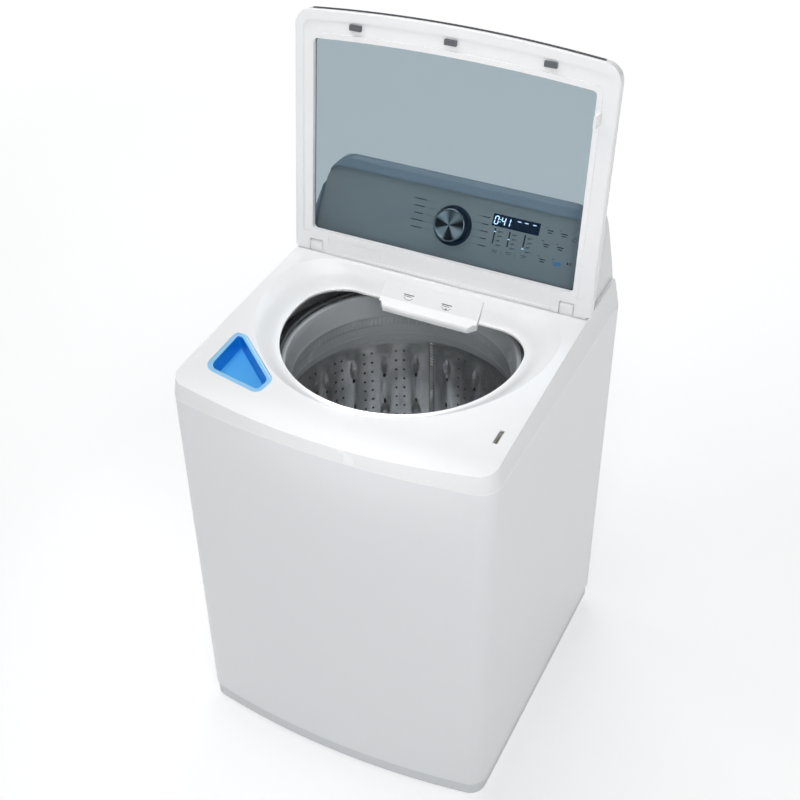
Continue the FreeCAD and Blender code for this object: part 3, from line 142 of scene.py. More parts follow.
print("finishes")
finishes = {
    # sheet steel under sprayed and baked enamel: a gloss with a faint orange peel
    "enamelBakedWhite": {"colours": ("#EDEFF2", "#F1F3F5"), "roughness": (0.3, 0.33), "grainSize": 7.0,
                         "depth": 0.012, "relief": 0.12, "cloudSize": 400,
                         "sockets": {"IOR": 1.5, "Coat Weight": 0.25, "Coat Roughness": 0.12}},
    # ABS moulded in a polished tool: clean white, soft gloss, the slightest flow waves
    "absMouldedGloss": {"colours": ("#F6F7F8", "#FAFAFB"), "roughness": (0.24, 0.28), "grainSize": 14.0,
                        "depth": 0.012, "relief": 0.12, "cloudSize": 260, "sockets": {"IOR": 1.53}},
    # the console's shell: white, with a slate band of painted shade in front of the plane of the control
    # film, where the tinted lid glass shades it
    "absMouldedPaintedGlassShade": {"colours": ("#F6F7F8", "#FAFAFB"), "roughness": (0.3, 0.34), "grainSize": 14.0,
                          "depth": 0.012, "relief": 0.12, "cloudSize": 260, "sockets": {"IOR": 1.53},
                          "band": {"colour": "#9BA6B1", "origin": (0, 0.222, 1.006),
                                   "normal": (0, -0.866, 0.5), "from": -0.0032, "to": -0.0028}},
    # polypropylene moulded in a sparked tool: even matt grain
    "polypropyleneMouldedPale": {"colours": ("#D9DCDF", "#E0E2E5"), "roughness": (0.42, 0.52),
                                 "grainSize": 1.4, "depth": 0.06, "relief": 0.4, "sockets": {"IOR": 1.49}},
    # thermoplastic rubber bead, extruded: bright and smooth
    "elastomerBeadExtruded": {"colours": ("#F7F8F9", "#FDFDFD"), "roughness": (0.28, 0.34),
                              "grainSize": 2.0, "depth": 0.02, "sockets": {"IOR": 1.5}},
    # hot dip galvanised sheet: pale grey spangles of 10 to 20 mm with a rolled sheen
    "steelGalvanisedSpangled": {"colours": ("#A9AEB2", "#BEC3C6"), "metallic": 1.0,
                                "roughness": (0.32, 0.48), "grainKind": "ShaderNodeTexVoronoi",
                                "grainSize": 12, "depth": 0.05, "relief": 0.3, "cloudSize": 16,
                                "sockets": {}},
    # bright zinc plate over drawn rod: slightly yellow silver, fine draw lines
    "zincPlatedDrawn": {"colours": ("#B9B7AC", "#CBCABF"), "metallic": 1.0, "roughness": (0.25, 0.4),
                        "grainSize": 1.2, "depth": 0.04, "stretch": (1, 1, 0.12), "sockets": {}},
    # nitrile rubber foot, compression moulded: black grey and chalky
    "rubberMouldedBlack": {"colours": ("#1E1F20", "#2B2C2D"), "roughness": (0.7, 0.85), "grainSize": 0.9,
                           "depth": 0.12, "relief": 0.5, "sockets": {"IOR": 1.52}},
    # soft grey elastomer pads, moulded: low sheen
    "elastomerMouldedGrey": {"colours": ("#5C5F63", "#6A6D71"), "roughness": (0.45, 0.6), "grainSize": 0.8,
                             "depth": 0.08, "sockets": {"IOR": 1.5}},
    # grey film with fine lines brushed along the panel, 0.6 mm apart so that they show
    "filmBrushedGrey": {"colours": ("#A6A8A8", "#AAACAC"), "metallic": 0.15, "roughness": (0.56, 0.6),
                        "grainSize": 0.6, "depth": 0.02, "relief": 0.35, "stretch": (0.02, 1, 1),
                        "cloudSize": 300, "sockets": {"IOR": 1.45}},
    # smoked acrylic, polished: nearly black blue with sharp reflections
    "acrylicSmokedPolished": {"colours": ("#0E2338", "#122A42"), "roughness": (0.16, 0.22), "grainSize": 30,
                              "depth": 0.01, "sockets": {"IOR": 1.4}},
    # ABS moulded navy black, high gloss
    "absGlossNavy": {"colours": ("#0F2638", "#16324A"), "roughness": (0.12, 0.2), "grainSize": 12,
                     "depth": 0.01, "sockets": {"IOR": 1.53}},
    # charcoal ABS strip, satin
    "absSatinCharcoal": {"colours": ("#2A2C2F", "#35373B"), "roughness": (0.3, 0.4), "grainSize": 1.5,
                         "depth": 0.02, "sockets": {"IOR": 1.53}},
    # fibreglass board under green solder mask: semi gloss
    "solderMaskGreen": {"colours": ("#0E4A2A", "#155C36"), "roughness": (0.3, 0.4), "grainSize": 2.5,
                        "depth": 0.08, "fleck": {"from": 0.62, "to": 0.7, "colour": "#9A8A4A"},
                        "sockets": {"IOR": 1.55}},
    # nylon with black pigment, moulded: satin
    "nylonMouldedBlack": {"colours": ("#161718", "#222325"), "roughness": (0.38, 0.5), "grainSize": 0.9,
                          "depth": 0.06, "sockets": {"IOR": 1.53}},
    # glass filled nylon in its own ivory colour: dull, with faint fibre flecks
    "nylonGlassFilledIvory": {"colours": ("#DDDAD0", "#E6E3DA"), "roughness": (0.45, 0.55),
                              "grainSize": 1.6, "depth": 0.08,
                              "fleck": {"from": 0.66, "to": 0.74, "colour": "#C9C5B8"},
                              "sockets": {"IOR": 1.53}},
    # pressed steel strip, passivated: plain grey metal with rolling lines
    "steelPressedPassivated": {"colours": ("#94979A", "#A7AAAC"), "metallic": 1.0, "roughness": (0.3, 0.42),
                               "grainSize": 1.0, "depth": 0.03, "stretch": (0.2, 1, 1), "sockets": {}},
    # aluminium die casting, tumbled: dull light grey with a pebbled skin
    "aluminiumDieCast": {"colours": ("#9B9EA2", "#ACAFB2"), "metallic": 1.0, "roughness": (0.45, 0.6),
                         "grainSize": 1.6, "depth": 0.12, "relief": 0.5, "sockets": {}},
    # filled polypropylene tub, moulded: milky white with a matt grain
    "polypropyleneTubFilled": {"colours": ("#D6DADD", "#E2E5E7"), "roughness": (0.4, 0.52),
                               "grainSize": 2.2, "depth": 0.08,
                               "fleck": {"from": 0.68, "to": 0.76, "colour": "#B9BEC2"},
                               "sockets": {"IOR": 1.49}},
    # grey polypropylene ring, moulded: half matt
    "polypropyleneMouldedGrey": {"colours": ("#4C4F52", "#545759"), "roughness": (0.3, 0.4),
                                 "grainSize": 1.6, "depth": 0.03, "relief": 0.3, "sockets": {"IOR": 1.49}},
    # ABS balance ring, moulded grey: smooth, with a soft band of light along each step
    "absMouldedGrey": {"colours": ("#B4B8BB", "#BDC1C4"), "roughness": (0.2, 0.28), "grainSize": 2.4,
                       "depth": 0.02, "relief": 0.25, "sockets": {"IOR": 1.53}},
    # stainless sheet, bright rolled: mirror like with slow dents that bend the reflections
    "stainlessBrightRolled": {"colours": ("#D8D9DA", "#E2E3E4"), "metallic": 0.9, "roughness": (0.14, 0.22),
                              "grainSize": 30.0, "depth": 0.5, "relief": 0.35, "cloudSize": 34,
                              "sockets": {}},
    # the seam's folds: steel painted paler and less metallic than the wall, painted highlight for a brighter
    # rope against the wall
    "stainlessFoldedPaintedHighlight": {"colours": ("#EDEEEF", "#F4F5F5"), "metallic": 0.55,
                                 "roughness": (0.22, 0.3), "grainSize": 2.0, "depth": 0.02, "sockets": {}},
    # stainless pressing, drawn and washed: softer
    "stainlessPressedSatin": {"colours": ("#C4C5C7", "#D0D1D3"), "metallic": 1.0, "roughness": (0.24, 0.34),
                              "grainSize": 8.0, "depth": 0.2, "sockets": {}},
    # painted shade: the dark gap seen behind each punched hole edge and between the seam's folds
    "gapShadowDark": {"colours": ("#0B0C0D", "#131415"), "roughness": (0.5, 0.7), "grainSize": 2.0,
                      "depth": 0.02, "sockets": {"IOR": 1.45}},
    # varnished copper winding over the stator core: amber brown, 0.9 mm wire
    "copperVarnishedWound": {"colours": ("#8A4B22", "#A9612F"), "metallic": 0.85, "roughness": (0.3, 0.42),
                             "grainSize": 0.9, "depth": 0.3, "relief": 0.7, "sockets": {}},
    # rotor cup, e-coated pressing: smoky grey
    "steelDipCoated": {"colours": ("#3B3E42", "#474A4E"), "roughness": (0.35, 0.5), "grainSize": 2.0,
                       "depth": 0.06, "sockets": {"IOR": 1.5}},
    # acetal, machined: bone white and waxy
    "acetalMachinedWhite": {"colours": ("#E1E0DA", "#EBEAE5"), "roughness": (0.3, 0.38), "grainSize": 1.0,
                            "depth": 0.03, "sockets": {"IOR": 1.48}},
    # charcoal polypropylene wash plate, moulded: satin
    "polypropyleneMouldedCharcoal": {"colours": ("#6B6F73", "#777B7F"), "roughness": (0.3, 0.4),
                                     "grainSize": 1.5, "depth": 0.05, "sockets": {"IOR": 1.49}},
    # chrome plated cap
    "chromePlatedCap": {"colours": ("#C6C8CA", "#D0D2D4"), "metallic": 1.0, "roughness": (0.06, 0.12),
                        "grainSize": 20, "depth": 0.02, "sockets": {}},
    # polished blue polycarbonate, a little light passes through
    "polycarbonateMouldedBlue": {"colours": ("#3FA4EA", "#4AABEE"), "roughness": (0.14, 0.22),
                                 "grainSize": 14, "depth": 0.02,
                                 "sockets": {"IOR": 1.58, "Subsurface Weight": 0.35,
                                             "Subsurface Radius": (0.004, 0.008, 0.012)}},
    # one blue in three painted shades: a thin flange painted pale, walls painted in deep shade, and a floor
    # painted lighter for the light from above
    "polycarbonateFlangePaintedLight": {"colours": ("#96D1FA", "#9ED6FB"), "roughness": (0.16, 0.22),
                                "grainSize": 14, "depth": 0.02,
                                "sockets": {"IOR": 1.58, "Subsurface Weight": 0.2,
                                            "Subsurface Radius": (0.003, 0.006, 0.01)}},
    "polycarbonateWallPaintedShade": {"colours": ("#1088E0", "#1A90E6"), "roughness": (0.14, 0.2), "grainSize": 14,
                              "depth": 0.02,
                              "sockets": {"IOR": 1.58, "Subsurface Weight": 0.3,
                                          "Subsurface Radius": (0.003, 0.006, 0.01)}},
    "polycarbonateFloorPaintedLight": {"colours": ("#4FB1F3", "#5AB7F5"), "roughness": (0.18, 0.24),
                               "grainSize": 10, "depth": 0.03,
                               "sockets": {"IOR": 1.58, "Subsurface Weight": 0.2,
                                           "Subsurface Radius": (0.003, 0.006, 0.01)}},
    # aluminium face, spun with fine rings 0.5 mm apart, given as a radial tangent; the bright and dark wedges
    # such rings make of each lamp are a painted reflection in the colour
    "aluminiumSpunFace": {"colours": ("#E6E8EA", "#F0F2F3"), "metallic": 1.0, "roughness": (0.28, 0.34),
                          "grainSize": 3, "depth": 0.005, "relief": 0.1, "spun": True,
                          "paintedReflectionWedges": {"colour": "#33373B", "waves": ((4, 1.1, 0.75), (3, 2.3, 0.45))},
                          "sockets": {"Anisotropic": 0.7}},
    # toughened glass, body tinted blue grey
    "glassToughenedTinted": {"colours": ("#A1AFB6", "#A3B1B8"), "roughness": (0.01, 0.03), "grainSize": 200,
                             "depth": 0.0, "relief": 0.0,
                             "sockets": {"IOR": 1.14, "Transmission Weight": 1.0}},
    # screen printed ink, slate, for the legends
    "inkPrintedSlate": {"colours": ("#1E2328", "#262B31"), "roughness": (0.5, 0.6), "grainSize": 0.5,
                        "depth": 0.01, "sockets": {"IOR": 1.5}},
    # screen printed ink, pale grey, for the knob's pointer
    "inkPrintedPale": {"colours": ("#C6CCD1", "#D2D7DB"), "roughness": (0.5, 0.6), "grainSize": 0.5,
                       "depth": 0.01, "sockets": {"IOR": 1.5}},
    # screen printed ink, dark
    "inkPrintedDark": {"colours": ("#1B2733", "#233140"), "roughness": (0.4, 0.5), "grainSize": 0.5,
                       "depth": 0.01, "sockets": {"IOR": 1.5}},
    # screen printed ink, blue
    "inkPrintedBlue": {"colours": ("#2F9BE0", "#38A2E6"), "roughness": (0.5, 0.6), "grainSize": 0.5,
                       "depth": 0.01, "sockets": {"IOR": 1.5}},
    # light segments behind the window, cold white
    "diodeLitWhite": {"colours": ("#D6E6FF", "#E4EEFF"), "roughness": (0.4, 0.5), "grainSize": 1.0,
                      "depth": 0.01,
                      "sockets": {"Emission Color": hexToLinear("#CFE2FF"), "Emission Strength": 3.6}},
}
material = {name: buildFinish(name, spec) for name, spec in finishes.items()}

finishOf = {
    "enamelBakedWhite": ["cabinet_shell"],
    "absMouldedGloss": ["top_panel", "lid_frame", "dispenser_drawer", "lid_strike"],
    "absMouldedPaintedGlassShade": ["console_housing"],
    "polypropyleneMouldedPale": ["base_frame"],
    "elastomerBeadExtruded": ["seam_trim"],
    "steelGalvanisedSpangled": ["rear_panel", "corner_brackets", "suspension_arms"],
    "zincPlatedDrawn": ["suspension_rods", "foot_locknuts"],
    "rubberMouldedBlack": ["foot_front_left", "foot_front_right", "foot_rear_left", "foot_rear_right"],
    "elastomerMouldedGrey": ["lid_bumpers", "damper_cups"],
    "filmBrushedGrey": ["control_fascia"],
    "acrylicSmokedPolished": ["display_window"],
    "absGlossNavy": ["knob_bezel"],
    "absSatinCharcoal": ["lid_front_trim"],
    "solderMaskGreen": ["control_board"],
    "nylonMouldedBlack": ["selector_encoder", "cord_inlet", "drain_port", "drain_pump", "shift_actuator"],
    "nylonGlassFilledIvory": ["inlet_valve", "fill_manifold", "dispenser_housing", "lid_lock",
                              "softener_siphon"],
    "steelPressedPassivated": ["lock_bolt", "lid_hinge_pins", "console_back"],
    "aluminiumDieCast": ["motor_inverter", "bearing_housing"],
    "polypropyleneTubFilled": ["outer_tub"],
    "polypropyleneMouldedGrey": ["tub_ring"],
    "absMouldedGrey": ["balance_ring"],
    "stainlessBrightRolled": ["basket"],
    "stainlessPressedSatin": ["basket_base", "spin_shaft", "drive_shaft", "tub_bearings"],
    "copperVarnishedWound": ["motor_stator"],
    "steelDipCoated": ["motor_rotor"],
    "acetalMachinedWhite": ["mode_shifter", "pump_impeller"],
    "polypropyleneMouldedCharcoal": ["wash_plate"],
    "chromePlatedCap": ["wash_plate_cap", "cycle_knob"],
    "polycarbonateMouldedBlue": ["pretreat_cup"],
    "glassToughenedTinted": ["lid_glass"],
}
for finish, members in finishOf.items():
    for name in members:
        nodes[name].data.materials.clear()
        nodes[name].data.materials.append(material[finish])


def finishMesh(name, body, shape, finishList, smooth=True, place=None):
    mesh = bpy.data.meshes.new(name)
    shape.to_mesh(mesh)
    shape.free()
    piece = bpy.data.objects.new(name, mesh)
    bpy.context.scene.collection.objects.link(piece)
    for finish in finishList:
        mesh.materials.append(material[finish])
    mesh.polygons.foreach_set("use_smooth", [smooth] * len(mesh.polygons))
    if place:
        piece.matrix_world = place
    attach(piece, body)
    return piece


print("rounding and turning tools")


# a run of straight lines whose corners are swept to the radii given, each with the same number of points
def sweepCorners(points, radii, steps, closed):
    swept = []
    count = len(points)
    for i in range(count):
        here = Vector(points[i])
        if not closed and i in (0, count - 1) or radii[i] <= 0:
            swept += [here.copy() for _ in range(steps + 1)] if closed else [here]
            continue
        before = (Vector(points[i - 1]) - here).normalized()
        after = (Vector(points[(i + 1) % count]) - here).normalized()
        half = before.angle(after) / 2
        back = min(radii[i] / math.tan(half), 0.49 * (Vector(points[i - 1]) - here).length,
                   0.49 * (Vector(points[(i + 1) % count]) - here).length)
        start, end = here + before * back, here + after * back
        for k in range(steps + 1):
            t = k / steps
            swept.append(start * (1 - t) ** 2 + here * 2 * t * (1 - t) + end * t ** 2)
    return swept


def insetCorners(points, distance):
    moved = []
    count = len(points)
    area = sum(points[i - 1][0] * points[i][1] - points[i][0] * points[i - 1][1] for i in range(count))
    side = 1 if area > 0 else -1
    for i in range(count):
        here = Vector(points[i])
        before = (here - Vector(points[i - 1])).normalized()
        after = (Vector(points[(i + 1) % count]) - here).normalized()
        normalBefore = Vector((-before.y, before.x)) * side
        normalAfter = Vector((-after.y, after.x)) * side
        middle = (normalBefore + normalAfter).normalized()
        moved.append(here + middle * (distance / max(0.2, middle.dot(normalBefore))))
    return moved


def joinRings(shape, rings, slots, closeLast=False):
    for i in range(len(rings) - 1):
        count = len(rings[i])
        for k in range(count):
            nextK = (k + 1) % count
            face = shape.faces.new((rings[i][k], rings[i][nextK], rings[i + 1][nextK], rings[i + 1][k]))
            face.material_index = slots[i]
    if closeLast:
        shape.faces.new(rings[-1]).material_index = slots[-1]


# turns a profile of (radius, height) in millimetres round an upright axis
# ripple(angle, height) moves the wall in
def turnProfile(profile, segments, axisY, ripple=None):
    shape = bmesh.new()
    rings = []
    for radius, height in profile:
        ring = []
        for k in range(segments):
            angle = 2 * math.pi * k / segments
            reach = radius - (ripple(angle, height) if ripple else 0)
            ring.append(shape.verts.new((reach * math.cos(angle) * mm, (axisY + reach * math.sin(angle)) * mm,
                                         height * mm)))
        rings.append(ring)
    joinRings(shape, rings, [0] * (len(rings) - 1))
    bmesh.ops.recalc_face_normals(shape, faces=shape.faces)
    return shape


# steel basket: rolled sheet, with columns of punched holes, scoops between them and one folded seam
print("basket")
basketSettings = {
    "radius": 262.0, "axisY": 6.0, "low": 306.0, "high": 880.0, "columns": 22, "firstAzimuth": -10.84,
    "holeRows": 9, "holeTop": 717.0, "holeStep": 26.5, "holeRadius": 2.6, "holeSplit": 2.0,
    "scoopTop": 683.0, "scoopHigh": 25.0, "scoopWide": 7.5, "scoopDepth": 4.5,
    "petals": (548.0, 470.0, 392.0), "petalHigh": 21.0, "petalWide": 10.0, "petalDepth": 6.5,
    "segments": 616, "rowStep": 4.6, "sheet": 1.2,
    "neckLow": 744.0, "neckWave": (0.8, 9.0), "pressedLow": (330.0, 30.0), "pressedTop": (735.0, 20.0),
    "valley": (1.6, 9.0), "wave": 0.8,
    # holes: half width, half height, rim
    "scoopHole": (3.6, 5.4, 1.4), "petalSlot": (2.6, 7.5, 1.0), "foldCreaseShade": (2.3, 2.1, 1.6), "punchRim": 1.3,
    "seamTop": 742.0, "seamLow": 330.0, "foldStep": 8.2, "foldHalf": 5.2, "foldRise": 3.4, "foldThick": 2.1,
    "shadeHalf": 5.4, "shadeRows": 60,
}


def azimuthToAngle(azimuth):
    return math.radians(90 - azimuth)


def basketRipple(angle, height):
    b = basketSettings
    pitch = 360 / b["columns"]
    azimuth = 90 - math.degrees(angle) - b["firstAzimuth"] - pitch / 2
    offset = (azimuth + pitch / 2) % pitch - pitch / 2
    across = math.radians(offset) * b["radius"]
    inward = 0.0
    if height < b["neckLow"]:
        valleyDeep, valleyWide = b["valley"]
        (low, lowFade), (top, topFade) = b["pressedLow"], b["pressedTop"]
        fade = min(1.0, max(0.0, (top - height) / topFade)) * min(1.0, max(0.0, (height - low) / lowFade))
        inward += valleyDeep * math.exp(-(across / valleyWide) ** 2) * fade
        inward += b["wave"] * math.cos(math.radians(offset) * b["columns"]) * fade
        dent = 1 - (across / b["scoopWide"]) ** 2 - ((height - b["scoopTop"]) / b["scoopHigh"]) ** 2
        inward -= b["scoopDepth"] * max(0.0, dent)
        for middle in b["petals"]:
            high = (height - middle) / b["petalHigh"]
            lobe = 1 - (across / b["petalWide"]) ** 2 - high ** 2
            inward += b["petalDepth"] * math.sqrt(max(0.0, lobe)) * (0.6 - 0.4 * high)
    if height > b["neckLow"]:
        waveDeep, waveLong = b["neckWave"]
        inward += waveDeep * math.sin((height - b["neckLow"]) / waveLong)
    return inward


def wallPoint(angle, height, lift):
    reach = basketSettings["radius"] - basketRipple(angle, height) - lift
    return Vector((reach * math.cos(angle), basketSettings["axisY"] + reach * math.sin(angle), height)) * mm


# a small ring and disc pressed on the wall at an angle and height; the disc takes the second finish, painted
# shade where a hole or crease would show dark
def addHole(shape, angle, height, wide, high, rim, lift=0.6, steps=10):
    outer, inner = [], []
    for k in range(steps):
        turn = 2 * math.pi * k / steps
        for ring, grow, out in ((outer, rim, 0.05), (inner, 0.0, lift)):
            along = angle + (wide + grow) * math.cos(turn) / basketSettings["radius"]
            ring.append(shape.verts.new(wallPoint(along, height + (high + grow) * math.sin(turn), out)))
    for k in range(steps):
        nextK = (k + 1) % steps
        shape.faces.new((outer[k], outer[nextK], inner[nextK], inner[k])).material_index = 0
    shape.faces.new(inner).material_index = 1


def addBasket():
    b = basketSettings
    rows = int((b["high"] - b["low"]) / b["rowStep"])
    profile = [(b["radius"], b["low"] + (b["high"] - b["low"]) * i / rows) for i in range(rows + 1)]
    wall = finishMesh("basketWall", "wash_basket",
                      turnProfile(profile, b["segments"], b["axisY"], ripple=basketRipple),
                      ["stainlessBrightRolled"])
    thicken = wall.modifiers.new("sheet", "SOLIDIFY")
    thicken.thickness = b["sheet"] * mm
    thicken.offset = 1
    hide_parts("basket")
    # the holes are not cut: each is a steel ring round a disc of painted shade
    punched = bmesh.new()
    pitch = 360 / b["columns"]
    for column in range(1, b["columns"]):
        for side in (-1, 1):
            angle = azimuthToAngle(b["firstAzimuth"] + column * pitch + side * b["holeSplit"])
            for row in range(b["holeRows"]):
                height = b["holeTop"] - row * b["holeStep"]
                addHole(punched, angle, height, b["holeRadius"], b["holeRadius"], b["punchRim"])
    for column in range(b["columns"]):
        angle = azimuthToAngle(b["firstAzimuth"] + (column + 0.5) * pitch)
        addHole(punched, angle, b["scoopTop"] - b["scoopHigh"] - 6, *b["scoopHole"])
        for middle in b["petals"]:
            addHole(punched, angle, middle + b["petalHigh"] + 7, *b["petalSlot"])
    seamAngle = azimuthToAngle(b["firstAzimuth"])
    height = b["seamTop"] - 1
    while height > b["seamLow"]:
        # painted shade in the crease on each side of a fold
        for side in (-1, 1):
            foldAngle = seamAngle + side * 4.2 / b["radius"]
            addHole(punched, foldAngle, height + side * 1.9, *b["foldCreaseShade"], lift=1.4, steps=8)
        height -= b["foldStep"]
    # the shade behind the folds
    edges = []
    for i in range(b["shadeRows"] + 1):
        height = b["seamLow"] + 2 + (b["seamTop"] - b["seamLow"] - 1) * i / b["shadeRows"]
        angles = [seamAngle + side * b["shadeHalf"] / b["radius"] for side in (-1, 1)]
        edges.append([punched.verts.new(wallPoint(angle, height, 0.35)) for angle in angles])
    for first, second in zip(edges, edges[1:]):
        punched.faces.new((first[0], first[1], second[1], second[0])).material_index = 1
    holes = finishMesh("basketPunching", "wash_basket", punched, ["stainlessBrightRolled", "gapShadowDark"])
    # folded seam, a flattened rope of slanting folds
    seam = bmesh.new()
    height = b["seamTop"]
    while height > b["seamLow"]:
        rings = []
        for k in range(7):
            t = k / 6 * 2 - 1
            swell = math.sqrt(max(0.02, 1 - t * t))
            ring = []
            for j in range(8):
                turn = 2 * math.pi * j / 8
                along = seamAngle + (t * b["foldHalf"] + 0.85 * swell * math.cos(turn)) / b["radius"]
                up = height + t * b["foldRise"] + b["foldThick"] * swell * math.sin(turn)
                ring.append(seam.verts.new(wallPoint(along, up, 0.4 + 1.02 * swell * (1 + math.cos(turn)))))
            rings.append(ring)
        joinRings(seam, rings, [0] * 6)
        height -= b["foldStep"]
    folded = finishMesh("basketSeam", "wash_basket", seam, ["stainlessFoldedPaintedHighlight"])


addBasket()

# balance ring: a rounded lip, a ribbed step and a smooth lower band with one small bead
print("rings")
balanceSettings = {
    "axisY": 6.0, "segments": 640,
    "profile": [(261.8, 757), (261.8, 880), (256, 886), (251, 892), (243, 893), (239, 890.5), (236.5, 880),
                (231, 848), (229.4, 843), (230.2, 838), (233.5, 834), (234.5, 829), (236, 814), (239, 808),
                (240.5, 789), (242.3, 787.2), (242.5, 784.8), (241.6, 783), (246.5, 763), (248.5, 758),
                (254, 757)],
    "radii": [0, 2, 2, 3, 3, 3, 4, 2.5, 2, 1.5, 2, 1, 2, 2, 0.6, 0.4, 0.4, 1, 2, 2, 0],
    "ribs": (811.0, 831.0), "ribDepth": 1.1,
}


def addBalanceRing():
    b = balanceSettings

    def ribs(angle, height):
        low, high = b["ribs"]
        if not low < height < high:
            return 0.0
        return b["ribDepth"] * (1 if int(round(angle / (2 * math.pi) * b["segments"])) % 4 < 2 else 0)

    profile = [tuple(p) for p in sweepCorners(b["profile"], b["radii"], 4, False)]
    dense = []
    for (radius, height), (nextRadius, nextHeight) in zip(profile, profile[1:]):
        pieces = max(1, int(abs(nextHeight - height) / 6))
        dense += [(radius + (nextRadius - radius) * i / pieces, height + (nextHeight - height) * i / pieces)
                  for i in range(pieces)]
    shape = turnProfile(dense + [profile[-1]], b["segments"], b["axisY"], ripple=ribs)
    ring = finishMesh("balanceRing", "wash_basket", shape, ["absMouldedGrey"])
    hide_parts("balance_ring")


addBalanceRing()

tubRingSettings = {
    "axisY": 6.0, "segments": 256,
    "profile": [(287, 868), (294, 868), (294, 876), (278, 884), (272, 891), (262, 893.5), (258, 899),
                (251, 903), (247, 901), (247, 897.5), (251, 899), (255.5, 896), (260, 889.5), (270, 887),
                (275, 880), (287, 873)],
    "radii": [0, 1, 2, 6, 5, 5, 4, 2.5, 1.5, 0.6, 2, 3, 3, 3, 3, 0],
}


def addTubRing():
    t = tubRingSettings
    profile = [tuple(p) for p in sweepCorners(t["profile"], t["radii"], 4, False)]
    ring = finishMesh("tubCoverRing", "wash_unit", turnProfile(profile, t["segments"], t["axisY"]),
                      ["polypropyleneMouldedGrey"])
    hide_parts("tub_ring")


addTubRing()

# pretreat cup: a soft three cornered dish of one blue, painted pale on the flange, in deep shade on the walls
# and lighter on the floor where light falls from above
print("cup")
cupSettings = {
    "corners": [(-272, -146), (-298, -142), (-299, -267), (-158, -292.5), (-152, -245)],
    "radii": [20, 14, 30, 16, 24], "tilt": 4.0, "pivotY": -295.0, "lift": 950.1,
    # inset from the outline, height on the tilted plane, finish slot
    "rings": [(0, -3.2, 0), (0, -0.6, 0), (0.5, 0.1, 0), (1.4, 0.4, 0), (8.4, 0.4, 0), (9.8, 0.1, 1),
              (10.7, -1.2, 1), (11.2, -4, 1), (11.9, -22, 1), (12.7, -27.5, 1), (14.2, -30.2, 2),
              (15.6, -30.9, 2), (17, -31, 2)],
}


def addCup():
    c = cupSettings
    shape = bmesh.new()
    turn = Matrix.Rotation(math.radians(c["tilt"]), 4, "X")
    rings = []
    for inset, height, _ in c["rings"]:
        radii = [max(3.0, r - inset * 0.75) for r in c["radii"]]
        outline = sweepCorners(insetCorners(c["corners"], inset), radii, 10, True)
        ring = []
        for p in outline:
            spot = turn @ Vector((p.x, p.y - c["pivotY"], height))
            spot = (spot.x * mm, (spot.y + c["pivotY"]) * mm, (spot.z + c["lift"]) * mm)
            ring.append(shape.verts.new(spot))
        rings.append(ring)
    joinRings(shape, rings, [slot for _, _, slot in c["rings"]], closeLast=True)
    bmesh.ops.recalc_face_normals(shape, faces=shape.faces)
    cup = finishMesh("pretreatCup", "cup", shape,
                     ["polycarbonateFlangePaintedLight", "polycarbonateWallPaintedShade", "polycarbonateFloorPaintedLight"])
    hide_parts("pretreat_cup")


addCup()

# knob: spun aluminium face in a gloss collar, turned about the panel's own normal
print("console")
panelSettings = {"origin": (0, 222, 1006), "tilt": 60.0}
panelMatrix = (Matrix.Translation(Vector(panelSettings["origin"]) * mm) @
               Matrix.Rotation(math.radians(panelSettings["tilt"]), 4, "X"))
knobSettings = {
    "up": 73.5, "segments": 96,
    "profile": [(34.0, 1), (35.5, 3), (35.5, 19.5), (34.6, 22.4), (33.4, 23.4), (32.2, 23.5), (31.4, 22.5),
                (31.0, 22.3), (22, 23.0), (10, 23.8), (0.4, 24.3)],
    "bands": [0, 0, 0, 1, 1, 0, 2, 2, 2, 2],
    "pointerAt": (0.0245, 0.052, 0.02345), "pointerTurn": 41,
}


def addKnob():
    k = knobSettings
    shape = bmesh.new()
    rings = []
    for radius, height in k["profile"]:
        rings.append([shape.verts.new((radius * math.cos(2 * math.pi * j / k["segments"]) * mm,
                                       radius * math.sin(2 * math.pi * j / k["segments"]) * mm, height * mm))
                      for j in range(k["segments"])])
    joinRings(shape, rings, k["bands"] + [2], closeLast=True)
    bmesh.ops.recalc_face_normals(shape, faces=shape.faces)
    knob = finishMesh("cycleKnob", "knob", shape, ["absGlossNavy", "chromePlatedCap", "aluminiumSpunFace"],
                      place=panelMatrix @ Matrix.Translation((0, k["up"] * mm, 0)))
    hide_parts("cycle_knob")


addKnob()


# flat marks printed or lit on the panel; x across and up the panel in millimetres
def addBar(shape, x, up, width, high, slot, lift=0.32, skew=0.0):
    corners = []
    for sx, sy in ((-1, -1), (1, -1), (1, 1), (-1, 1)):
        along, above = sx * width / 2 + sy * skew * high / 2, sy * high / 2
        corners.append(shape.verts.new((x + along, up + above, lift)))
    shape.faces.new(corners).material_index = slot


def addArc(shape, x, up, radius, width, start, end, slot, lift=0.32, steps=18):
    rings = []
    for k in range(steps + 1):
        turn = math.radians(start + (end - start) * k / steps)
        rings.append([shape.verts.new((x + r * math.cos(turn), up + r * math.sin(turn), lift))
                      for r in (radius - width / 2, radius + width / 2)])
    for first, second in zip(rings, rings[1:]):
        shape.faces.new((first[0], first[1], second[1], second[0])).material_index = slot


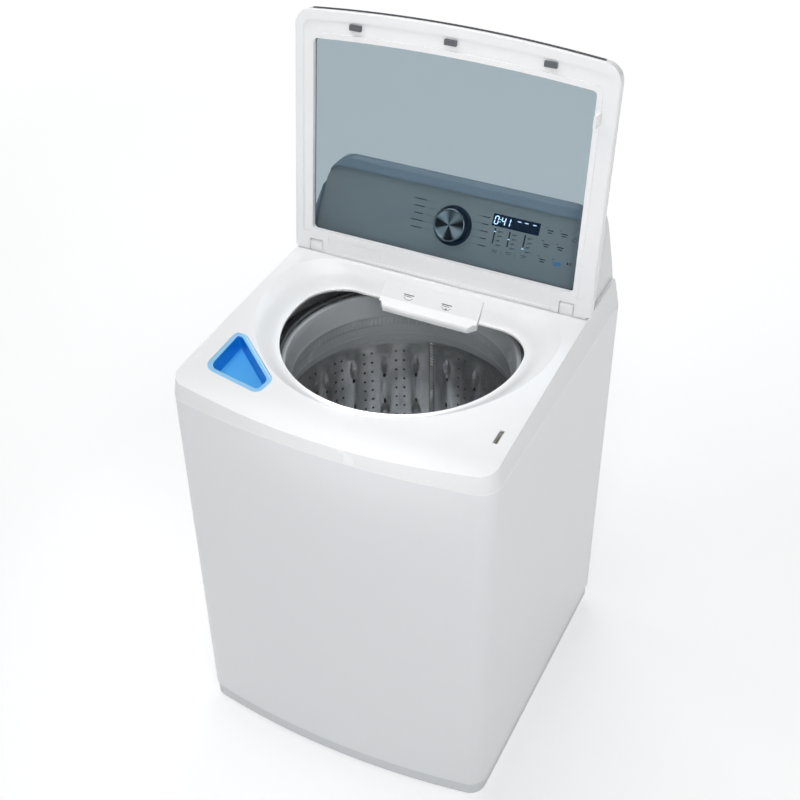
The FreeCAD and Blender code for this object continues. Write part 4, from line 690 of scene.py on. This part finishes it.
digitBars = {"0": "abcdef", "1": "bc", "4": "bcfg"}
barPlace = {"a": (0, 1, 0), "b": (0.5, 0.5, 1), "c": (0.5, -0.5, 1), "d": (0, -1, 0), "e": (-0.5, -0.5, 1),
            "f": (-0.5, 0.5, 1), "g": (0, 0, 0)}
markSettings = {
    "digitHigh": 16.5, "digitWide": 7.6, "barThick": 1.8, "digits": (("0", 93.4), ("4", 108.6), ("1", 119.6)),
    "digitUp": 106.0, "colonX": 101.4, "slant": 0.1, "litLift": 0.5, "dashes": (143.0, 159.0, 177.0),
    "levelNames": ((109, 41), (140, 43), (174, 44)), "levelRules": ((117, 41), (150, 42)),
    "levelBars": ((95.0, 56.0), (128.0, 56.0), (162.0, 64.0)), "levelTop": 89.0,
    "levelLamps": ((95.0, 82.0), (128.0, 72.0), (162.0, 60.0)),
    "keys": ((208, 107), (239, 106), (206, 78), (237, 78), (205, 46), (237, 46)),
    "cycles": {"left": (-101.0, -52.0), "right": (44.0, 78.0), "high": (113.0, 98.0, 83.0, 68.0, 53.0)},
}


def addMarks():
    m = markSettings
    shape = bmesh.new()
    # 0 slate ink, 1 dark ink, 2 blue ink, 3 lit
    for digit, x in m["digits"]:
        for bar in digitBars[digit]:
            sx, sy, upright = barPlace[bar]
            wide, high = m["digitWide"] - 1.8, m["barThick"]
            if upright:
                wide, high = m["barThick"], m["digitHigh"] / 2 - 1.6
            up = sy * m["digitHigh"] / 2
            addBar(shape, x + sx * m["digitWide"] + up * m["slant"], m["digitUp"] + up, wide, high, 3,
                   m["litLift"], skew=m["slant"] if upright else 0)
    for up in (-2.6, 2.6):
        addBar(shape, m["colonX"] + up * m["slant"], m["digitUp"] + up, 1.6, 1.6, 3, m["litLift"])
    for x in m["dashes"]:
        addBar(shape, x, 112.5, 8.0, 1.4, 3, m["litLift"])
    for x, low in m["levelBars"]:
        addBar(shape, x, (m["levelTop"] + low) / 2, 3.2, m["levelTop"] - low, 1)
        for k in range(4):
            addBar(shape, x + 11 + 1.5 * (k % 2), m["levelTop"] - 5 - k * 9.5, 11 - 2 * (k % 3), 1.4, 0)
            addBar(shape, x + 9, m["levelTop"] - 7.2 - k * 9.5, 6 - (k % 2), 0.7, 0)
    for x, up in m["levelLamps"]:
        addBar(shape, x, up, 4.2, 1.5, 3, 0.45)
    for x, up in m["levelNames"]:
        addBar(shape, x - 6, up + 2.4, 13, 1.0, 0)
        addBar(shape, x - 6, up - 1.2, 10, 1.0, 0)
    for x, up in m["levelRules"]:
        addBar(shape, x, up, 0.6, 9, 0)
    for i, (x, up) in enumerate(m["keys"]):
        # the last key is larger and blue
        upper, lower, high, ink = (18, 15, 2.8, 2) if i == 5 else (14, 10, 2.0, 0)
        addBar(shape, x - 5, up + 8, 5.0, 1.4, 1)
        addBar(shape, x + 4, up + 2.2, upper, high, ink)
        addBar(shape, x + 4, up - 2.4, lower, high, ink)
    addArc(shape, 267, 102, 4.2, 0.9, 120, 420, 0)
    addBar(shape, 267, 105, 0.9, 5.0, 0)
    for x in (268.4, 270.8):
        addBar(shape, x, 52, 1.2, 7.0, 0)
    play = [(262.0, 48.5, 0.32), (266.4, 52.0, 0.32), (262.0, 55.5, 0.32)]
    shape.faces.new([shape.verts.new(corner) for corner in play]).material_index = 0
    # cycle legends: a short bar and a leader line to the knob
    for i, up in enumerate(m["cycles"]["high"]):
        slope = (i - 2) * 1.6
        left, right = m["cycles"]["left"], m["cycles"]["right"]
        addBar(shape, left[0] + 17 + i * 0.8, up, 30 - 5 * (i % 3), 2.0, 0)
        addBar(shape, left[1] - 2, up + slope * 0.2, 22 - abs(i - 2) * 2, 0.5, 0)
        addBar(shape, right[0] + 8, up - 6, 20 - abs(i - 2) * 2, 0.5, 0)
        addBar(shape, right[1] - 8 + i * 0.6, up - 6, 18 - 4 * (i % 2), 2.0, 0)
    shape.transform(panelMatrix @ Matrix.Scale(mm, 4))
    marks = finishMesh("consoleMarks", "cabinet", shape,
                       ["inkPrintedSlate", "inkPrintedDark", "inkPrintedBlue", "diodeLitWhite"], smooth=False)
    # pointer on the knob's collar
    pointer = bmesh.new()
    addBar(pointer, 0, 0, 1.4, 3.2, 0, 0)
    place = (Matrix.Translation(knobSettings["pointerAt"]) @
             Matrix.Rotation(math.radians(knobSettings["pointerTurn"]), 4, "Z"))
    pointer.transform(panelMatrix @ place @ Matrix.Scale(mm, 4))
    dot = finishMesh("knobPointer", "knob", pointer, ["inkPrintedPale"], smooth=False)


addMarks()

# dispenser legends: a flower and a drop over short bars, printed dark on the sloping face
drawerFace = {"low": (130.0, 938.5), "high": (156.5, 970.0), "icons": (-46.0, 42.0)}


def addDrawerMarks():
    d = drawerFace
    along = Vector((0, d["high"][0] - d["low"][0], d["high"][1] - d["low"][1])).normalized()
    across = Vector((1, 0, 0))
    outward = across.cross(along)
    basis = Matrix((across, along, outward)).transposed().to_4x4()
    place = Matrix.Translation(Vector((0, d["low"][0], d["low"][1])) * mm) @ basis
    shape = bmesh.new()
    for i, x in enumerate(d["icons"]):
        addBar(shape, x, 16, 24, 1.8, 0)
        addBar(shape, x - 2, 12.6, 17, 1.2, 0)
        addArc(shape, x, 19, 14, 0.9, 222, 318, 0)
        if i:
            addArc(shape, x, 6.5, 1.6, 1.6, 0, 360, 0)
    shape.transform(place @ Matrix.Scale(mm, 4))
    marks = finishMesh("drawerMarks", "dispenser", shape, ["inkPrintedDark"], smooth=False)


addDrawerMarks()

# lid: a thin black seal shows between the frame and the glass
lidSettings = {"origin": (0, 179, 995), "tilt": 83.5, "half": 300.0, "low": 33.0, "side": 451.0, "top": 463.0,
               "corner": 9.0, "seal": 1.5, "depth": -10.9}


def addLidSeal():
    c = lidSettings
    place = Matrix.Translation(Vector(c["origin"]) * mm) @ Matrix.Rotation(math.radians(c["tilt"]), 4, "X")
    shape = bmesh.new()
    rings = []
    for grow in (0.4, -c["seal"]):
        half, low, side, top = c["half"] + grow, c["low"] - grow, c["side"] + grow, c["top"] + grow
        r = c["corner"] + grow * 0.5
        cut = r * 0.293  # how far the middle of a quarter turn stands in from the corner
        shoulder = side + 0.4
        rightSide = [(half - r, low), (half - cut, low + cut), (half, low + r), (half, side - r),
                     (half - cut, side - cut), (half - r, shoulder)]
        arch = []
        for k in range(1, 24):
            t = 1 - k / 12
            arch.append(((half - r) * t, top - (top - shoulder) * t * t))
        outline = rightSide + arch + [(-x, y) for x, y in reversed(rightSide)]
        rings.append([shape.verts.new((x * mm, y * mm, c["depth"] * mm)) for x, y in outline])
    joinRings(shape, rings, [0])
    bmesh.ops.recalc_face_normals(shape, faces=shape.faces)
    shape.transform(place)
    seal = finishMesh("lidGlassSeal", "lid", shape, ["rubberMouldedBlack"], smooth=False)


addLidSeal()
# the light comes through untinted; the shade of the tinted pane is painted as a slate band on the console's
# front
nodes["lid_glass"].visible_shadow = False  # the studio light reaches the console through the pane

# camera, light and floor
print("camera and light")
cameraSettings = {"place": (0.9729, -1.9285, 2.4734), "turn": 0.466, "down": 0.665, "roll": -0.013,
                  "lens": 58.37, "sensor": 36, "shift": (-0.0019, 0.0014)}


def addCamera(settings):
    turn, down, roll = settings["turn"], settings["down"], settings["roll"]
    ahead = Vector((-math.sin(turn) * math.cos(down), math.cos(turn) * math.cos(down), -math.sin(down)))
    right = Vector((math.cos(turn), math.sin(turn), 0))
    up = right.cross(ahead)
    tiltedRight = right * math.cos(roll) + up * math.sin(roll)
    tiltedUp = up * math.cos(roll) - right * math.sin(roll)
    basis = Matrix((tiltedRight, tiltedUp, -ahead)).transposed().to_4x4()
    lens = bpy.data.cameras.new("camera")
    lens.lens = settings["lens"]
    lens.sensor_width = settings["sensor"]
    lens.shift_x, lens.shift_y = settings["shift"]
    lens.clip_start, lens.clip_end = 0.05, 50
    holder = bpy.data.objects.new("camera", lens)
    holder.matrix_world = Matrix.Translation(settings["place"]) @ basis
    bpy.context.scene.collection.objects.link(holder)
    bpy.context.scene.camera = holder


addCamera(cameraSettings)

studio = {
    "sky": {"high": "#FFFFFF", "low": "#E6EAEE", "strength": 0.2, "seen": 0.97},
    "lamps": [
        # name, place, aim, width, depth, power, colour, spread in degrees
        ("topSoftbox", (-0.6, -0.1, 3.3), (0, 0, 0.9), 1.8, 1.8, 29, "#FFFFFF", 180),
        ("frontSoftbox", (1.2, -1.9, 2.8), (0, 0.1, 1.1), 1.2, 1.0, 25, "#FFFFFF", 180),
        ("rearSoftbox", (-0.6, 1.9, 2.4), (-0.4, 1.6, 0), 1.6, 1.0, 14, "#FBFCFF", 180),
        ("drumLight", (0.1, -0.35, 2.4), (0, -0.03, 0.5), 0.1, 0.1, 1.7, "#FFFFFF", 10),
        ("railFill", (0.5, -2.4, 1.7), (0, 0.18, 1.08), 0.3, 0.3, 0.24, "#FFFFFF", 20),
    ],
}


def addLamp(name, place, aim, width, depth, power, colour, spread):
    lamp = bpy.data.lights.new(name, "AREA")
    lamp.shape = "RECTANGLE"
    lamp.size, lamp.size_y = width, depth
    lamp.energy = power
    lamp.spread = math.radians(spread)
    lamp.color = hexToLinear(colour)[:3]
    holder = bpy.data.objects.new(name, lamp)
    holder.location = place
    holder.rotation_euler = (Vector(aim) - Vector(place)).to_track_quat("-Z", "Y").to_euler()
    bpy.context.scene.collection.objects.link(holder)


for lamp in studio["lamps"]:
    addLamp(*lamp)
world = bpy.data.worlds.new("studio")
bpy.context.scene.world = world
world.use_nodes = True
sky = world.node_tree
background = sky.nodes["Background"]
rays = addNode(sky, "ShaderNodeLightPath")
straight = addNode(sky, "ShaderNodeMath", {"operation": "MAXIMUM"},
                   {0: rays.outputs["Is Camera Ray"], 1: rays.outputs["Is Transmission Ray"]})
# a pale wall behind, with no more light from it
skyStrength = addNode(sky, "ShaderNodeMapRange",
                      {"To Min": studio["sky"]["strength"], "To Max": studio["sky"]["seen"]},
                      {"Value": straight.outputs[0]})
sky.links.new(skyStrength.outputs[0], background.inputs["Strength"])
skyHeight = addNode(sky, "ShaderNodeSeparateXYZ", {},
                    {"Vector": addNode(sky, "ShaderNodeTexCoord").outputs["Generated"]})
skyBlend = addNode(sky, "ShaderNodeMapRange", {"From Min": -0.1, "From Max": 0.8},
                   {"Value": skyHeight.outputs["Z"]})
skyTint = addNode(sky, "ShaderNodeMix", {"data_type": "RGBA", 6: hexToLinear(studio["sky"]["low"]),
                                         7: hexToLinear(studio["sky"]["high"])}, {0: skyBlend.outputs[0]})
sky.links.new(skyTint.outputs[2], background.inputs["Color"])
bpy.context.scene.view_settings.view_transform = "Standard"
bpy.context.scene.view_settings.look = "None"

floorSettings = {
    "half": 14.0, "glow": (0.36, 0.84), "glowReach": (1.2, 5.0),  # near the machine and far away
    "finish": {"colours": ("#FAFBFC", "#FFFFFF"), "roughness": (0.6, 0.7), "grainSize": 4.0, "depth": 0.02,
               "cloudSize": 900, "sockets": {"IOR": 1.3, "Emission Color": hexToLinear("#FFFFFF")}},
}


def addFloor(settings):
    shape = bmesh.new()
    bmesh.ops.create_grid(shape, x_segments=8, y_segments=8, size=settings["half"])
    mesh = bpy.data.meshes.new("floor")
    shape.to_mesh(mesh)
    shape.free()
    floor = bpy.data.objects.new("floor", mesh)
    floor.location = (0, 0, -0.0005)
    bpy.context.scene.collection.objects.link(floor)
    paper = buildFinish("floorPaperMatt", settings["finish"])
    tree = paper.node_tree
    away = addNode(tree, "ShaderNodeVectorMath", {"operation": "LENGTH"},
                   {0: addNode(tree, "ShaderNodeTexCoord").outputs["Object"]})
    near, far = settings["glowReach"]
    dim, bright = settings["glow"]
    glow = addNode(tree, "ShaderNodeMapRange",
                   {"From Min": near, "From Max": far, "To Min": dim, "To Max": bright},
                   {"Value": away.outputs["Value"]})
    tree.links.new(glow.outputs[0], tree.nodes["Principled BSDF"].inputs["Emission Strength"])
    mesh.materials.append(paper)


addFloor(floorSettings)

print("done")
